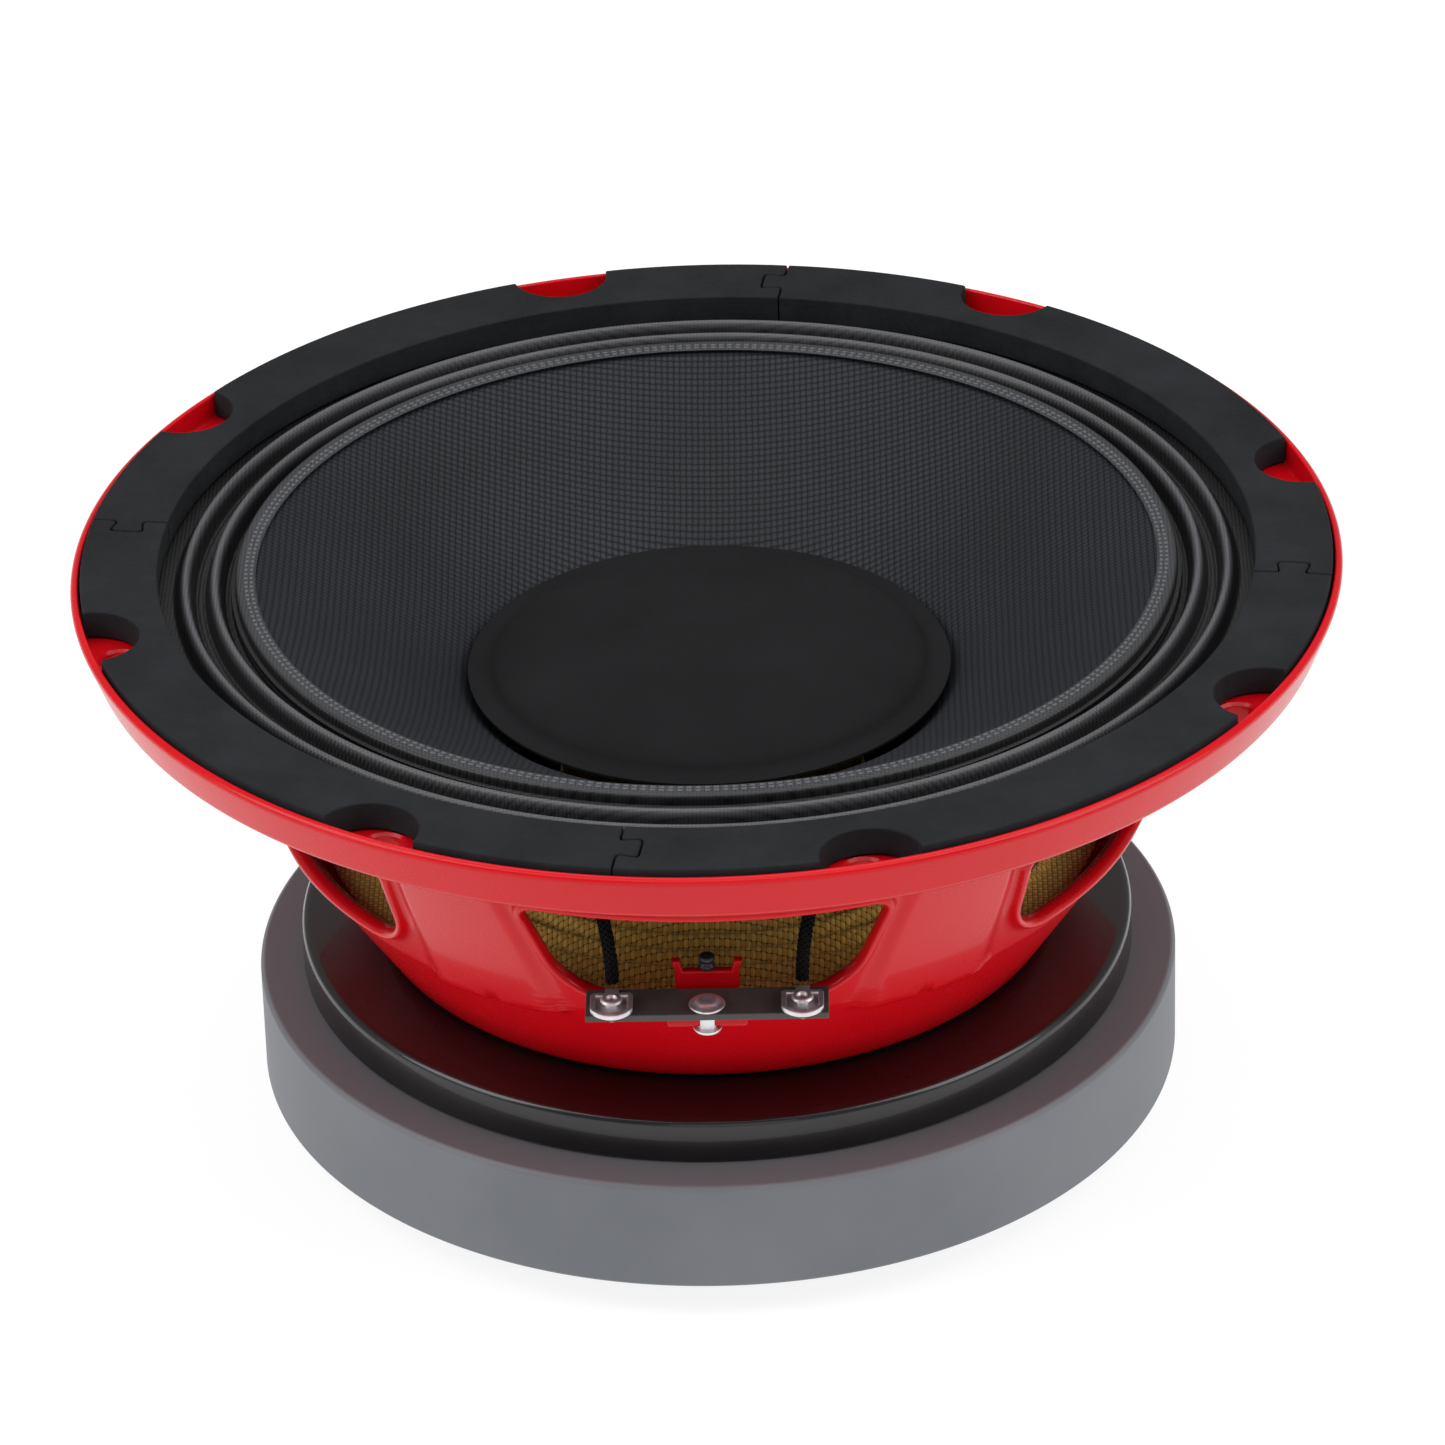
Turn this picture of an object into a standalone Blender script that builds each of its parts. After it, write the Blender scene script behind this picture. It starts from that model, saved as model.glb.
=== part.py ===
"""Car subwoofer speaker, standing on its magnet with the cone facing up.

Metres, +Z up. The origin is the centre of the back face. Azimuth 0 is -Y, the side of the
terminals, and azimuths grow towards +X.
"""

import math

import bmesh
import bpy
from mathutils import Matrix, Vector

MM = 0.001
GAP = 0.3 * MM  # between pieces that are glued, pressed or screwed together
SEGMENTS = 48  # round a full turn, a multiple of the screw count and of 4

# Motor: steel yoke with its pole, ferrite ring and steel front plate, glued in a stack.
YOKE_RADIUS = 66.0 * MM
YOKE_THICKNESS = 6.0 * MM
POLE_RADIUS = 24.8 * MM
VENT_RADIUS = 10.0 * MM
MAGNET_RADIUS = 78.0 * MM
MAGNET_BORE_RADIUS = 40.0 * MM
MAGNET_HEIGHT = 19.6 * MM
MAGNET_CHAMFER = 0.8 * MM
PLATE_RADIUS = 70.6 * MM
PLATE_THICKNESS = 7.7 * MM
PLATE_CHAMFER = 1.4 * MM

# Voice coil, in the slot between the pole and the front plate.
POLE_CLEARANCE = 0.4 * MM
FORMER_WALL = 0.4 * MM
COIL_WALL = 1.1 * MM
COIL_HEIGHT = 16.0 * MM
COIL_CLEARANCE = 0.6 * MM
FORMER_TAIL = 2.0 * MM  # bare former below the winding

# Basket: base ring, conical bowl in two slopes, and a flange with a raised lip.
BASE_RADIUS = 57.8 * MM
BASE_BORE_RADIUS = 36.0 * MM
BASE_THICKNESS = 2.4 * MM
BASE_CORNER = 1.0 * MM
BOWL_HEIGHT = 58.0 * MM
BOWL_WALL = 2.2 * MM
KNEE_RADIUS = 70.0 * MM
RIM_RADIUS = 105.6 * MM
RIM_FOOT_INSET = 3.0 * MM
FLANGE_WIDTH = 17.1 * MM  # from the top of the bowl to the rim
FLANGE_THICKNESS = 4.6 * MM
LIP_HEIGHT = 4.1 * MM
LIP_WALL = 1.4 * MM
LIP_ROUNDING = 0.6 * MM
FLANGE_STEP = 0.2 * MM  # from the top of the bowl out to the flange's inner edge
LANDING_DEPTH = 0.9 * MM  # recess that takes the edge of the surround
LANDING_WIDTH = 6.3 * MM
SHELF_WIDTH = 5.4 * MM  # ledge that takes the edge of the spider
SHELF_THICKNESS = 2.2 * MM
SHELF_TO_KNEE = 2.2 * MM
SHELF_TO_SILL = 7.6 * MM

# Openings of the bowl, and the panels pressed outwards between them.
WINDOW_COUNT = 6
SILL_HALF_ANGLE = math.radians(17.9)
HEAD_HALF_ANGLE = math.radians(21.0)
WINDOW_HEAD_MARGIN = 11.4 * MM
SILL_CORNER = 8.5 * MM
HEAD_CORNER = 3.5 * MM
PANEL_FOOT_HALF_ANGLE = math.radians(10.5)
PANEL_HEAD_HALF_ANGLE = math.radians(5.5)
PANEL_RISE = 0.8 * MM
PANEL_DROP = 2.6 * MM  # from the knee down to the panel's foot

# Screw holes of the flange, and the gasket with a notch over each.
SCREW_HOLE_COUNT = 8
FIRST_SCREW_AZIMUTH = math.radians(15.0)
SCREW_HOLE_RADIUS = 3.15 * MM
SCREW_HOLE_INSET = 6.4 * MM
GASKET_THICKNESS = 4.9 * MM
GASKET_EDGE_CLEARANCE = 0.4 * MM
GASKET_SETBACK = 2.3 * MM
GASKET_SEGMENT_COUNT = 4
NOTCH_RADIUS = 8.2 * MM
NOTCH_LAND = 4.8 * MM  # gasket left inside a notch
KEY_LENGTH = 3.6 * MM
KEY_HALF_NECK = 1.9 * MM
KEY_HALF_HEAD = 2.7 * MM

# Moving cone, dust cap, surround and spider.
EDGE_BELOW_LIP = 1.7 * MM
CONE_DEPTH = 41.0 * MM
CONE_WALL = 0.8 * MM
CONE_RIM_WIDTH = 2.6 * MM
CAP_RADIUS = 40.8 * MM
CAP_DROP = 20.2 * MM  # from the cone's edge down to the cap's edge
CAP_FLANGE = 3.5 * MM
CAP_DOME = 5.5 * MM
CAP_WALL = 0.6 * MM
CAP_EDGE_CLEARANCE = 0.4 * MM
NECK_HEIGHT = 3.2 * MM
NECK_WALL = 1.6 * MM
NECK_FILLET = 0.5 * MM
CLOTH = 0.6 * MM
SURROUND_SETBACK = 2.2 * MM  # from the flange's inner edge to the first crest
SURROUND_CREST_COUNT = 2
SURROUND_PITCH = 4.9 * MM
SURROUND_CREST = 2.6 * MM
SURROUND_CREST_HALF_FLAT = 0.6 * MM
SURROUND_TROUGH_HALF_FLAT = 0.4 * MM
SURROUND_TROUGH_DEPTH = 0.6 * MM
SURROUND_RISE_RUN = 0.55 * MM  # from the last trough out to the band on the cone
SURROUND_OVERHANG = 0.8 * MM  # band beyond the cone's rim
SPIDER_DROP = 6.3 * MM  # from the neck of the cone down to the spider
SPIDER_PITCH = 5.0 * MM
SPIDER_AMPLITUDE = 1.1 * MM
SPIDER_COLLAR = 4.5 * MM
SPIDER_EDGE_CLEARANCE = 0.5 * MM
SPIDER_NECK_LIFT = 0.4 * MM
SPIDER_SEGMENTS = 36

# Terminals, at azimuth 0.
BOARD_LENGTH = 39.0 * MM
BOARD_DEPTH = 8.0 * MM
BOARD_THICKNESS = 1.2 * MM
BOARD_RIVET_SHARE = 0.7  # of the board's depth, from its back edge
LUG_RIVET_SHARE = 0.3  # of the board's depth, from its front edge
TAB_WIDTH = 13.0 * MM
TAB_SHARE = 0.8  # of the board's depth
TAB_THICKNESS = 1.8 * MM
LUG_SPACING = 30.6 * MM
LUG_WIDTH = 6.8 * MM
LUG_LENGTH = 8.4 * MM
LUG_THICKNESS = 0.8 * MM
LUG_OVERHANG = 1.2 * MM
LUG_NOSE_SHARE = 0.55  # length of the rounded nose, of half the width
LUG_RIVET_RADIUS = 1.1 * MM
LUG_RIVET_HEAD = 1.87 * MM
LUG_RIVET_RISE = 0.6 * MM
BOARD_RIVET_RADIUS = 1.6 * MM
BOARD_RIVET_HEAD = 2.95 * MM
BOARD_RIVET_RISE = 1.2 * MM
BRACKET_HALF_WIDTH = 5.2 * MM
BRACKET_THICKNESS = 1.5 * MM
BRACKET_HEIGHT = 4.2 * MM
BRACKET_EAR_WIDTH = 1.3 * MM
BRACKET_EAR_HEIGHT = 1.9 * MM
PEG_RADIUS = 1.4 * MM
PEG_HEIGHT = 2.6 * MM
LEAD_RADIUS = 1.1 * MM
EYELET_RADIUS = 1.7 * MM
EYELET_HEIGHT = 1.4 * MM
EYELET_TO_EDGE = 17.0 * MM  # from the edge of the cone inwards
EYELET_SPREAD = 1.15  # sideways place of an eyelet, to that of its lug
LEAD_SWING = 0.45  # length of a lead's end tangents, of the distance it spans

# Screws that hold the basket on the front plate.
FRAME_SCREW_COUNT = 4
FRAME_SCREW_FIRST = math.radians(45.0)
FRAME_SCREW_CIRCLE = 44.0 * MM
FRAME_SCREW_RADIUS = 2.0 * MM
FRAME_SCREW_HEAD_RADIUS = 3.8 * MM
FRAME_SCREW_HEAD_HEIGHT = 2.0 * MM
FRAME_SCREW_DEPTH = 5.4 * MM  # in the plate

# Heights that follow from the stack.
magnet_z = YOKE_THICKNESS + GAP
plate_z = magnet_z + MAGNET_HEIGHT + GAP
plate_top = plate_z + PLATE_THICKNESS
base_z = plate_top + GAP
floor_z = base_z + BASE_THICKNESS
flange_z = base_z + BOWL_HEIGHT
flange_top = flange_z + FLANGE_THICKNESS
landing_z = flange_top - LANDING_DEPTH
lip_top = flange_top + LIP_HEIGHT
gasket_z = flange_top + GAP
edge_z = lip_top - EDGE_BELOW_LIP  # upper side of the cone's edge
neck_z = edge_z - CONE_DEPTH
spider_z = neck_z - SPIDER_DROP
shelf_z = spider_z - GAP
knee_z = shelf_z + SHELF_TO_KNEE
sill_z = shelf_z + SHELF_TO_SILL
head_z = flange_z - WINDOW_HEAD_MARGIN
board_z = sill_z + GAP
board_top = board_z + BOARD_THICKNESS
lug_z = board_top + GAP
lug_top = lug_z + LUG_THICKNESS
lug_centres = (-LUG_SPACING / 2, LUG_SPACING / 2)

# Radii that follow from what they fit.
bowl_top_radius = RIM_RADIUS - FLANGE_WIDTH
flange_inner = bowl_top_radius + FLANGE_STEP
landing_outer = flange_inner + LANDING_WIDTH
lip_inner = RIM_RADIUS - LIP_WALL
gasket_outer = lip_inner - GASKET_EDGE_CLEARANCE
gasket_inner = flange_inner + GASKET_SETBACK
screw_circle = RIM_RADIUS - SCREW_HOLE_INSET
former_inner = POLE_RADIUS + POLE_CLEARANCE
former_outer = former_inner + FORMER_WALL
coil_inner = former_outer + GAP
coil_outer = coil_inner + COIL_WALL
plate_bore = coil_outer + COIL_CLEARANCE
neck_inner = former_outer + GAP
surround_width = (
    SURROUND_SETBACK
    + SURROUND_PITCH * (SURROUND_CREST_COUNT - 0.5)
    + SURROUND_TROUGH_HALF_FLAT
    + SURROUND_RISE_RUN
    + SURROUND_OVERHANG
    + CONE_RIM_WIDTH
)
cone_edge = flange_inner - surround_width
cap_edge_z = edge_z - CAP_DROP


def bowl_radius(z):
    """Outer radius of the bowl's wall at a height."""
    if z < knee_z:
        share = (z - base_z - BASE_CORNER) / (knee_z - base_z - BASE_CORNER)
        return BASE_RADIUS + share * (KNEE_RADIUS - BASE_RADIUS)
    share = (z - knee_z) / (flange_z - knee_z)
    return KNEE_RADIUS + share * (bowl_top_radius - KNEE_RADIUS)


def cone_height(radius):
    """Upper surface of the cone's straight flank at a radius."""
    share = (radius - CAP_RADIUS) / (cone_edge - CAP_RADIUS)
    return cap_edge_z + share * CAP_DROP


def polar(radius, azimuth, z=0.0):
    return Vector((radius * math.sin(azimuth), -radius * math.cos(azimuth), z))


def linear(channel):
    channel /= 255.0
    return channel / 12.92 if channel <= 0.04045 else ((channel + 0.055) / 1.055) ** 2.4


def material(name, colour, roughness, metallic=0.0):
    """Principled material from an sRGB colour in 0 to 255."""
    result = bpy.data.materials.new(name)
    result.use_nodes = True
    shader = result.node_tree.nodes["Principled BSDF"]
    shader.inputs["Base Color"].default_value = (*map(linear, colour), 1.0)
    shader.inputs["Roughness"].default_value = roughness
    shader.inputs["Metallic"].default_value = metallic
    result.diffuse_color = (*map(linear, colour), 1.0)
    return result


def add_object(name, bm, finish, smooth_angle=30.0):
    """Closes the bmesh into an object with its faces pointing out."""
    bmesh.ops.remove_doubles(bm, verts=bm.verts, dist=1e-7)
    bmesh.ops.recalc_face_normals(bm, faces=bm.faces)
    mesh = bpy.data.meshes.new(name)
    bm.to_mesh(mesh)
    bm.free()
    mesh.shade_smooth()
    mesh.set_sharp_from_angle(angle=math.radians(smooth_angle))
    item = bpy.data.objects.new(name, mesh)
    bpy.context.scene.collection.objects.link(item)
    if finish:
        mesh.materials.append(finish)
    return item


def add_cutter(name, bm):
    cutter = add_object(name, bm, None)
    cutter.hide_render = True
    cutter.display_type = "WIRE"
    return cutter


def combine(target, other, operation):
    modifier = target.modifiers.new(other.name, "BOOLEAN")
    modifier.operation = operation
    modifier.solver = "EXACT"
    modifier.object = other
    return target


def spun(profile, segments=SEGMENTS):
    """Bmesh of a closed (radius, height) profile turned about Z."""
    bm = bmesh.new()
    ring = [bm.verts.new((0.0, -radius, z)) for radius, z in profile]
    edges = [bm.edges.new((ring[i - 1], ring[i])) for i in range(len(ring))]
    bmesh.ops.spin(
        bm,
        geom=ring + edges,
        cent=(0, 0, 0),
        axis=(0, 0, 1),
        angle=math.tau,
        steps=segments,
        use_merge=True,
    )
    bmesh.ops.remove_doubles(bm, verts=bm.verts, dist=1e-7)
    return bm


def turned(name, profile, finish, segments=SEGMENTS):
    return add_object(name, spun(profile, segments), finish)


def prism(outline, push):
    """Bmesh of a flat outline of 3-D points, extruded along the vector push."""
    bm = bmesh.new()
    face = bm.faces.new([bm.verts.new(point) for point in outline])
    made = bmesh.ops.extrude_face_region(bm, geom=[face])["geom"]
    moved = [item for item in made if isinstance(item, bmesh.types.BMVert)]
    bmesh.ops.translate(bm, verts=moved, vec=push)
    return bm


def block(low, high):
    """Bmesh of a box between two corners."""
    low, high = Vector(low), Vector(high)
    place = Matrix.LocRotScale((low + high) / 2, None, high - low)
    bm = bmesh.new()
    bmesh.ops.create_cube(bm, size=1.0, matrix=place)
    return bm


def drum(radius, low, high, place, segments=16):
    """Bmesh of a cylinder from height low to high on a vertical axis through place."""
    centre = Matrix.Translation((place[0], place[1], (low + high) / 2))
    bm = bmesh.new()
    bmesh.ops.create_cone(
        bm,
        cap_ends=True,
        segments=segments,
        radius1=radius,
        radius2=radius,
        depth=high - low,
        matrix=centre,
    )
    return bm


def drill(target, label, radius, low, high, places, segments=16):
    """Cuts vertical holes that run GAP past the heights low and high."""
    for index, place in enumerate(places):
        bm = drum(radius, low - GAP, high + GAP, place, segments)
        combine(target, add_cutter(f"{target.name}_{label}_{index}", bm), "DIFFERENCE")


def round_places(count, radius, first=0.0):
    return [polar(radius, first + math.tau * i / count) for i in range(count)]


# ---- motor ---------------------------------------------------------------------------------


def frame_screw_places():
    return round_places(FRAME_SCREW_COUNT, FRAME_SCREW_CIRCLE, FRAME_SCREW_FIRST)


def build_motor():
    steel = material("zinc_steel", (150, 152, 155), 0.35, 1.0)
    ferrite = material("ferrite", (112, 115, 122), 0.6)
    black = material("black_plate", (26, 24, 26), 0.25)
    chamfer = MAGNET_CHAMFER
    turned(
        "t_yoke",
        [
            (VENT_RADIUS, 0.0),
            (YOKE_RADIUS - chamfer, 0.0),
            (YOKE_RADIUS, chamfer),
            (YOKE_RADIUS, YOKE_THICKNESS),
            (POLE_RADIUS, YOKE_THICKNESS),
            (POLE_RADIUS, plate_top),
            (VENT_RADIUS, plate_top),
        ],
        steel,
    )
    magnet_top = magnet_z + MAGNET_HEIGHT
    turned(
        "magnet",
        [
            (MAGNET_BORE_RADIUS, magnet_z),
            (MAGNET_RADIUS - chamfer, magnet_z),
            (MAGNET_RADIUS, magnet_z + chamfer),
            (MAGNET_RADIUS, magnet_top - chamfer),
            (MAGNET_RADIUS - chamfer, magnet_top),
            (MAGNET_BORE_RADIUS, magnet_top),
        ],
        ferrite,
    )
    plate = turned(
        "top_plate",
        [
            (plate_bore, plate_z),
            (PLATE_RADIUS, plate_z),
            (PLATE_RADIUS, plate_top - PLATE_CHAMFER),
            (PLATE_RADIUS - PLATE_CHAMFER, plate_top),
            (plate_bore, plate_top),
        ],
        black,
    )
    hole = FRAME_SCREW_RADIUS + GAP
    drill(plate, "screw", hole, plate_top - FRAME_SCREW_DEPTH, plate_top, frame_screw_places())


# ---- basket --------------------------------------------------------------------------------


def window_cutter(azimuth, index):
    """Tapered opening with rounded corners, cut straight through the wall."""
    inside = bowl_radius(sill_z) - 3 * BOWL_WALL
    sill = bowl_radius(sill_z) * math.sin(SILL_HALF_ANGLE)
    head = bowl_radius(head_z) * math.sin(HEAD_HALF_ANGLE)
    bm = bmesh.new()
    corners = ((-sill, sill_z), (sill, sill_z), (head, head_z), (-head, head_z))
    bm.faces.new([bm.verts.new((x, -inside, z)) for x, z in corners])
    for corner, offset in ((sill_z, SILL_CORNER), (head_z, HEAD_CORNER)):
        bmesh.ops.bevel(
            bm,
            geom=[vert for vert in bm.verts if abs(vert.co.z - corner) < GAP / 10],
            offset=offset,
            affect="VERTICES",
            segments=4,
            profile=0.5,
            material=-1,
        )
    made = bmesh.ops.extrude_face_region(bm, geom=bm.faces[:])["geom"]
    moved = [item for item in made if isinstance(item, bmesh.types.BMVert)]
    bmesh.ops.translate(bm, verts=moved, vec=(0, inside - RIM_RADIUS, 0))
    turn = Matrix.Rotation(azimuth, 3, "Z")
    bmesh.ops.rotate(bm, verts=bm.verts, cent=(0, 0, 0), matrix=turn)
    return add_cutter(f"window_{index}", bm)


def panel_pad(azimuth, index):
    """Raised panel of a spoke, wider at its foot, that runs up into the flange."""
    foot_z, head = knee_z - PANEL_DROP, flange_z + FLANGE_THICKNESS / 4
    outline = [
        (bowl_radius(foot_z) - BOWL_WALL / 2, foot_z),
        (bowl_radius(foot_z) + PANEL_RISE, foot_z),
        (bowl_radius(knee_z) + PANEL_RISE, knee_z),
        (bowl_radius(head) + PANEL_RISE, head),
        (bowl_radius(head) - BOWL_WALL / 2, head),
        (bowl_radius(knee_z) - BOWL_WALL / 2, knee_z),
    ]
    bm = bmesh.new()
    start = [bm.verts.new(polar(radius, -PANEL_FOOT_HALF_ANGLE, z)) for radius, z in outline]
    face = bm.faces.new(start)
    sweep = 2 * PANEL_FOOT_HALF_ANGLE
    geometry = start + face.edges[:] + [face]
    bmesh.ops.spin(bm, geom=geometry, cent=(0, 0, 0), axis=(0, 0, 1), angle=sweep, steps=4)
    narrow = PANEL_HEAD_HALF_ANGLE / PANEL_FOOT_HALF_ANGLE
    for vert in bm.verts:
        share = (vert.co.z - foot_z) / (head - foot_z)
        angle = math.atan2(vert.co.x, -vert.co.y) * (1 + share * (narrow - 1))
        vert.co = polar(math.hypot(vert.co.x, vert.co.y), angle + azimuth, vert.co.z)
    return add_cutter(f"panel_{index}", bm)


def terminal_bracket():
    """Tab under the terminal board, and the upstand with two ears behind it."""
    wall = bowl_radius(sill_z)
    tab = block(
        (-TAB_WIDTH / 2, -wall - TAB_SHARE * BOARD_DEPTH, sill_z - TAB_THICKNESS),
        (TAB_WIDTH / 2, BOWL_WALL / 2 - wall, sill_z),
    )
    side, ear = BRACKET_HALF_WIDTH, BRACKET_EAR_WIDTH
    low = sill_z - TAB_THICKNESS
    base, top = sill_z + BRACKET_HEIGHT, sill_z + BRACKET_HEIGHT + BRACKET_EAR_HEIGHT
    back = BOWL_WALL - wall + GAP
    upstand = prism(
        [
            (x, back, z)
            for x, z in (
                (-side, low),
                (side, low),
                (side, top),
                (side - ear, top),
                (side - ear, base),
                (ear - side, base),
                (ear - side, top),
                (-side, top),
            )
        ],
        (0, -BRACKET_THICKNESS, 0),
    )
    return add_cutter("bracket_tab", tab), add_cutter("bracket_upstand", upstand)


def build_basket():
    red = material("red_paint", (196, 28, 38), 0.28)
    shelf_inner = bowl_radius(shelf_z) - BOWL_WALL - SHELF_WIDTH
    shelf_under = shelf_z - SHELF_THICKNESS
    basket = turned(
        "basket",
        [
            (BASE_BORE_RADIUS, base_z),
            (BASE_RADIUS - BASE_CORNER, base_z),
            (BASE_RADIUS, base_z + BASE_CORNER),
            (KNEE_RADIUS, knee_z),
            (bowl_top_radius, flange_z),
            (RIM_RADIUS - RIM_FOOT_INSET, flange_z),
            (RIM_RADIUS, lip_top - LIP_ROUNDING),
            (RIM_RADIUS - LIP_ROUNDING, lip_top),
            (lip_inner, lip_top),
            (lip_inner, flange_top),
            (landing_outer, flange_top),
            (landing_outer, landing_z),
            (flange_inner, landing_z),
            (bowl_top_radius - BOWL_WALL, flange_z),
            (KNEE_RADIUS - BOWL_WALL, knee_z),
            (bowl_radius(shelf_z) - BOWL_WALL, shelf_z),
            (shelf_inner, shelf_z),
            (shelf_inner, shelf_under),
            (bowl_radius(shelf_under) - BOWL_WALL, shelf_under),
            (bowl_radius(floor_z) - BOWL_WALL, floor_z),
            (BASE_BORE_RADIUS, floor_z),
        ],
        red,
    )
    pitch = math.tau / WINDOW_COUNT
    for index in range(WINDOW_COUNT):
        combine(basket, window_cutter(pitch * index, index), "DIFFERENCE")
        combine(basket, panel_pad(pitch * (index + 0.5), index), "UNION")
    for bracket in terminal_bracket():
        combine(basket, bracket, "UNION")
    screw_places = round_places(SCREW_HOLE_COUNT, screw_circle, FIRST_SCREW_AZIMUTH)
    drill(basket, "flange", SCREW_HOLE_RADIUS, flange_z, flange_top, screw_places)
    drill(basket, "base", FRAME_SCREW_RADIUS + GAP, base_z, floor_z, frame_screw_places())
    rivet_hole = BOARD_RIVET_RADIUS + GAP
    drill(basket, "tab", rivet_hole, sill_z - TAB_THICKNESS, sill_z, [board_rivet_place()])


def board_back():
    """Y of the terminal board's edge nearest the bowl."""
    return GAP - bowl_radius(sill_z)


def board_rivet_place():
    return Vector((0.0, board_back() - BOARD_RIVET_SHARE * BOARD_DEPTH, 0.0))


# ---- gasket --------------------------------------------------------------------------------


def seam(azimuth, shift, grow):
    """Points of a keyed joint from the inner edge outwards, moved sideways by shift."""
    middle = (gasket_inner + gasket_outer) / 2
    outline = (
        (0.0, gasket_inner),
        (0.0, middle - KEY_HALF_NECK - grow),
        (KEY_LENGTH, middle - KEY_HALF_HEAD - grow),
        (KEY_LENGTH, middle + KEY_HALF_HEAD + grow),
        (0.0, middle + KEY_HALF_NECK + grow),
        (0.0, gasket_outer),
    )
    across = polar(1.0, azimuth + math.pi / 2)
    out = polar(1.0, azimuth)
    return [out * radius + across * (side + shift) for side, radius in outline]


def build_gasket():
    fibre = material("gasket_fibre", (50, 52, 55), 0.85)
    arc_steps = SEGMENTS // GASKET_SEGMENT_COUNT
    sweep = math.tau / GASKET_SEGMENT_COUNT
    first = FIRST_SCREW_AZIMUTH - math.pi / SCREW_HOLE_COUNT
    notch_circle = gasket_inner + NOTCH_LAND + NOTCH_RADIUS
    notches = round_places(SCREW_HOLE_COUNT, notch_circle, FIRST_SCREW_AZIMUTH)
    per_segment = SCREW_HOLE_COUNT // GASKET_SEGMENT_COUNT
    for index in range(GASKET_SEGMENT_COUNT):
        start = first + sweep * index
        steps = [start + sweep * i / arc_steps for i in range(1, arc_steps)]
        socket = seam(start, GAP, GAP)
        key = seam(start + sweep, 0.0, 0.0)
        outline = socket + [polar(gasket_outer, angle) for angle in steps]
        outline += key[::-1] + [polar(gasket_inner, angle) for angle in reversed(steps)]
        for point in outline:
            point.z = gasket_z
        bm = prism(outline, (0, 0, GASKET_THICKNESS))
        segment = add_object(f"gasket_segment_{index + 1}", bm, fibre)
        own = notches[index * per_segment : (index + 1) * per_segment]
        drill(segment, "notch", NOTCH_RADIUS, gasket_z, gasket_z + GASKET_THICKNESS, own, 24)


# ---- moving parts --------------------------------------------------------------------------


def sheet_profile(upper, thickness):
    """Closed profile of a thin sheet whose upper side runs through the given points."""
    return list(upper) + [(radius, z - thickness) for radius, z in reversed(upper)]


def build_cone():
    paper = material("cone_paper", (44, 47, 54), 0.7)
    cloth = material("doped_cloth", (38, 38, 41), 0.75)
    rim = cone_edge + CONE_RIM_WIDTH
    under = CONE_WALL
    turned(
        "cone",
        [
            (neck_inner, neck_z),
            (neck_inner + NECK_WALL, neck_z),
            (neck_inner + NECK_WALL + NECK_FILLET, neck_z + NECK_HEIGHT - under),
            (CAP_RADIUS + 0.5 * under, cap_edge_z - under),
            (cone_edge + 0.3 * under, edge_z - 1.3 * under),
            (rim, edge_z - under),
            (rim, edge_z),
            (cone_edge - 0.4 * under, edge_z - 0.1 * under),
            (CAP_RADIUS, cap_edge_z),
            (neck_inner + NECK_WALL - NECK_FILLET, neck_z + NECK_HEIGHT + 0.5 * under),
            (neck_inner, neck_z + NECK_HEIGHT),
        ],
        paper,
    )
    edge = CAP_RADIUS - CAP_EDGE_CLEARANCE
    shoulder = edge - CAP_FLANGE
    low = cap_edge_z + GAP + CAP_WALL
    dome = [(edge, low), (shoulder, low)]
    dome += [
        (shoulder * math.cos(turn), low + CAP_DOME * math.sin(turn))
        for turn in (math.radians(step) for step in (20, 40, 60, 75))
    ]
    dome.append((0.0, low + CAP_DOME))
    turned("dust_cap", sheet_profile(dome, CAP_WALL), cloth)


def build_coil():
    paper = material("former_paper", (176, 150, 110), 0.7)
    copper = material("coil_wire", (168, 92, 52), 0.35, 1.0)
    middle = plate_z + PLATE_THICKNESS / 2
    low, high = middle - COIL_HEIGHT / 2, middle + COIL_HEIGHT / 2
    bottom, top = low - FORMER_TAIL, neck_z + NECK_HEIGHT
    turned(
        "voice_coil_former",
        [(former_inner, bottom), (former_outer, bottom), (former_outer, top), (former_inner, top)],
        paper,
    )
    turned(
        "voice_coil",
        [(coil_inner, low), (coil_outer, low), (coil_outer, high), (coil_inner, high)],
        copper,
    )


def build_surround():
    """Accordion edge: a landing on the flange, two crests, and a band on the cone's edge."""
    cloth = material("surround_cloth", (30, 31, 33), 0.8)
    low = landing_z + GAP + CLOTH
    crest = low + SURROUND_CREST
    band = edge_z + GAP + CLOTH
    dip = low - SURROUND_TROUGH_DEPTH
    upper = [(landing_outer - GAP, low), (flange_inner - GAP, low)]
    for turn in range(SURROUND_CREST_COUNT):
        centre = flange_inner - SURROUND_SETBACK - SURROUND_PITCH * turn
        trough = centre - SURROUND_PITCH / 2
        for middle, half, height in (
            (centre, SURROUND_CREST_HALF_FLAT, crest),
            (trough, SURROUND_TROUGH_HALF_FLAT, dip),
        ):
            upper += [(middle + half, height), (middle - half, height)]
    upper += [(cone_edge + CONE_RIM_WIDTH + SURROUND_OVERHANG, band), (cone_edge, band)]
    turned("surround", sheet_profile(upper, CLOTH), cloth)


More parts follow.
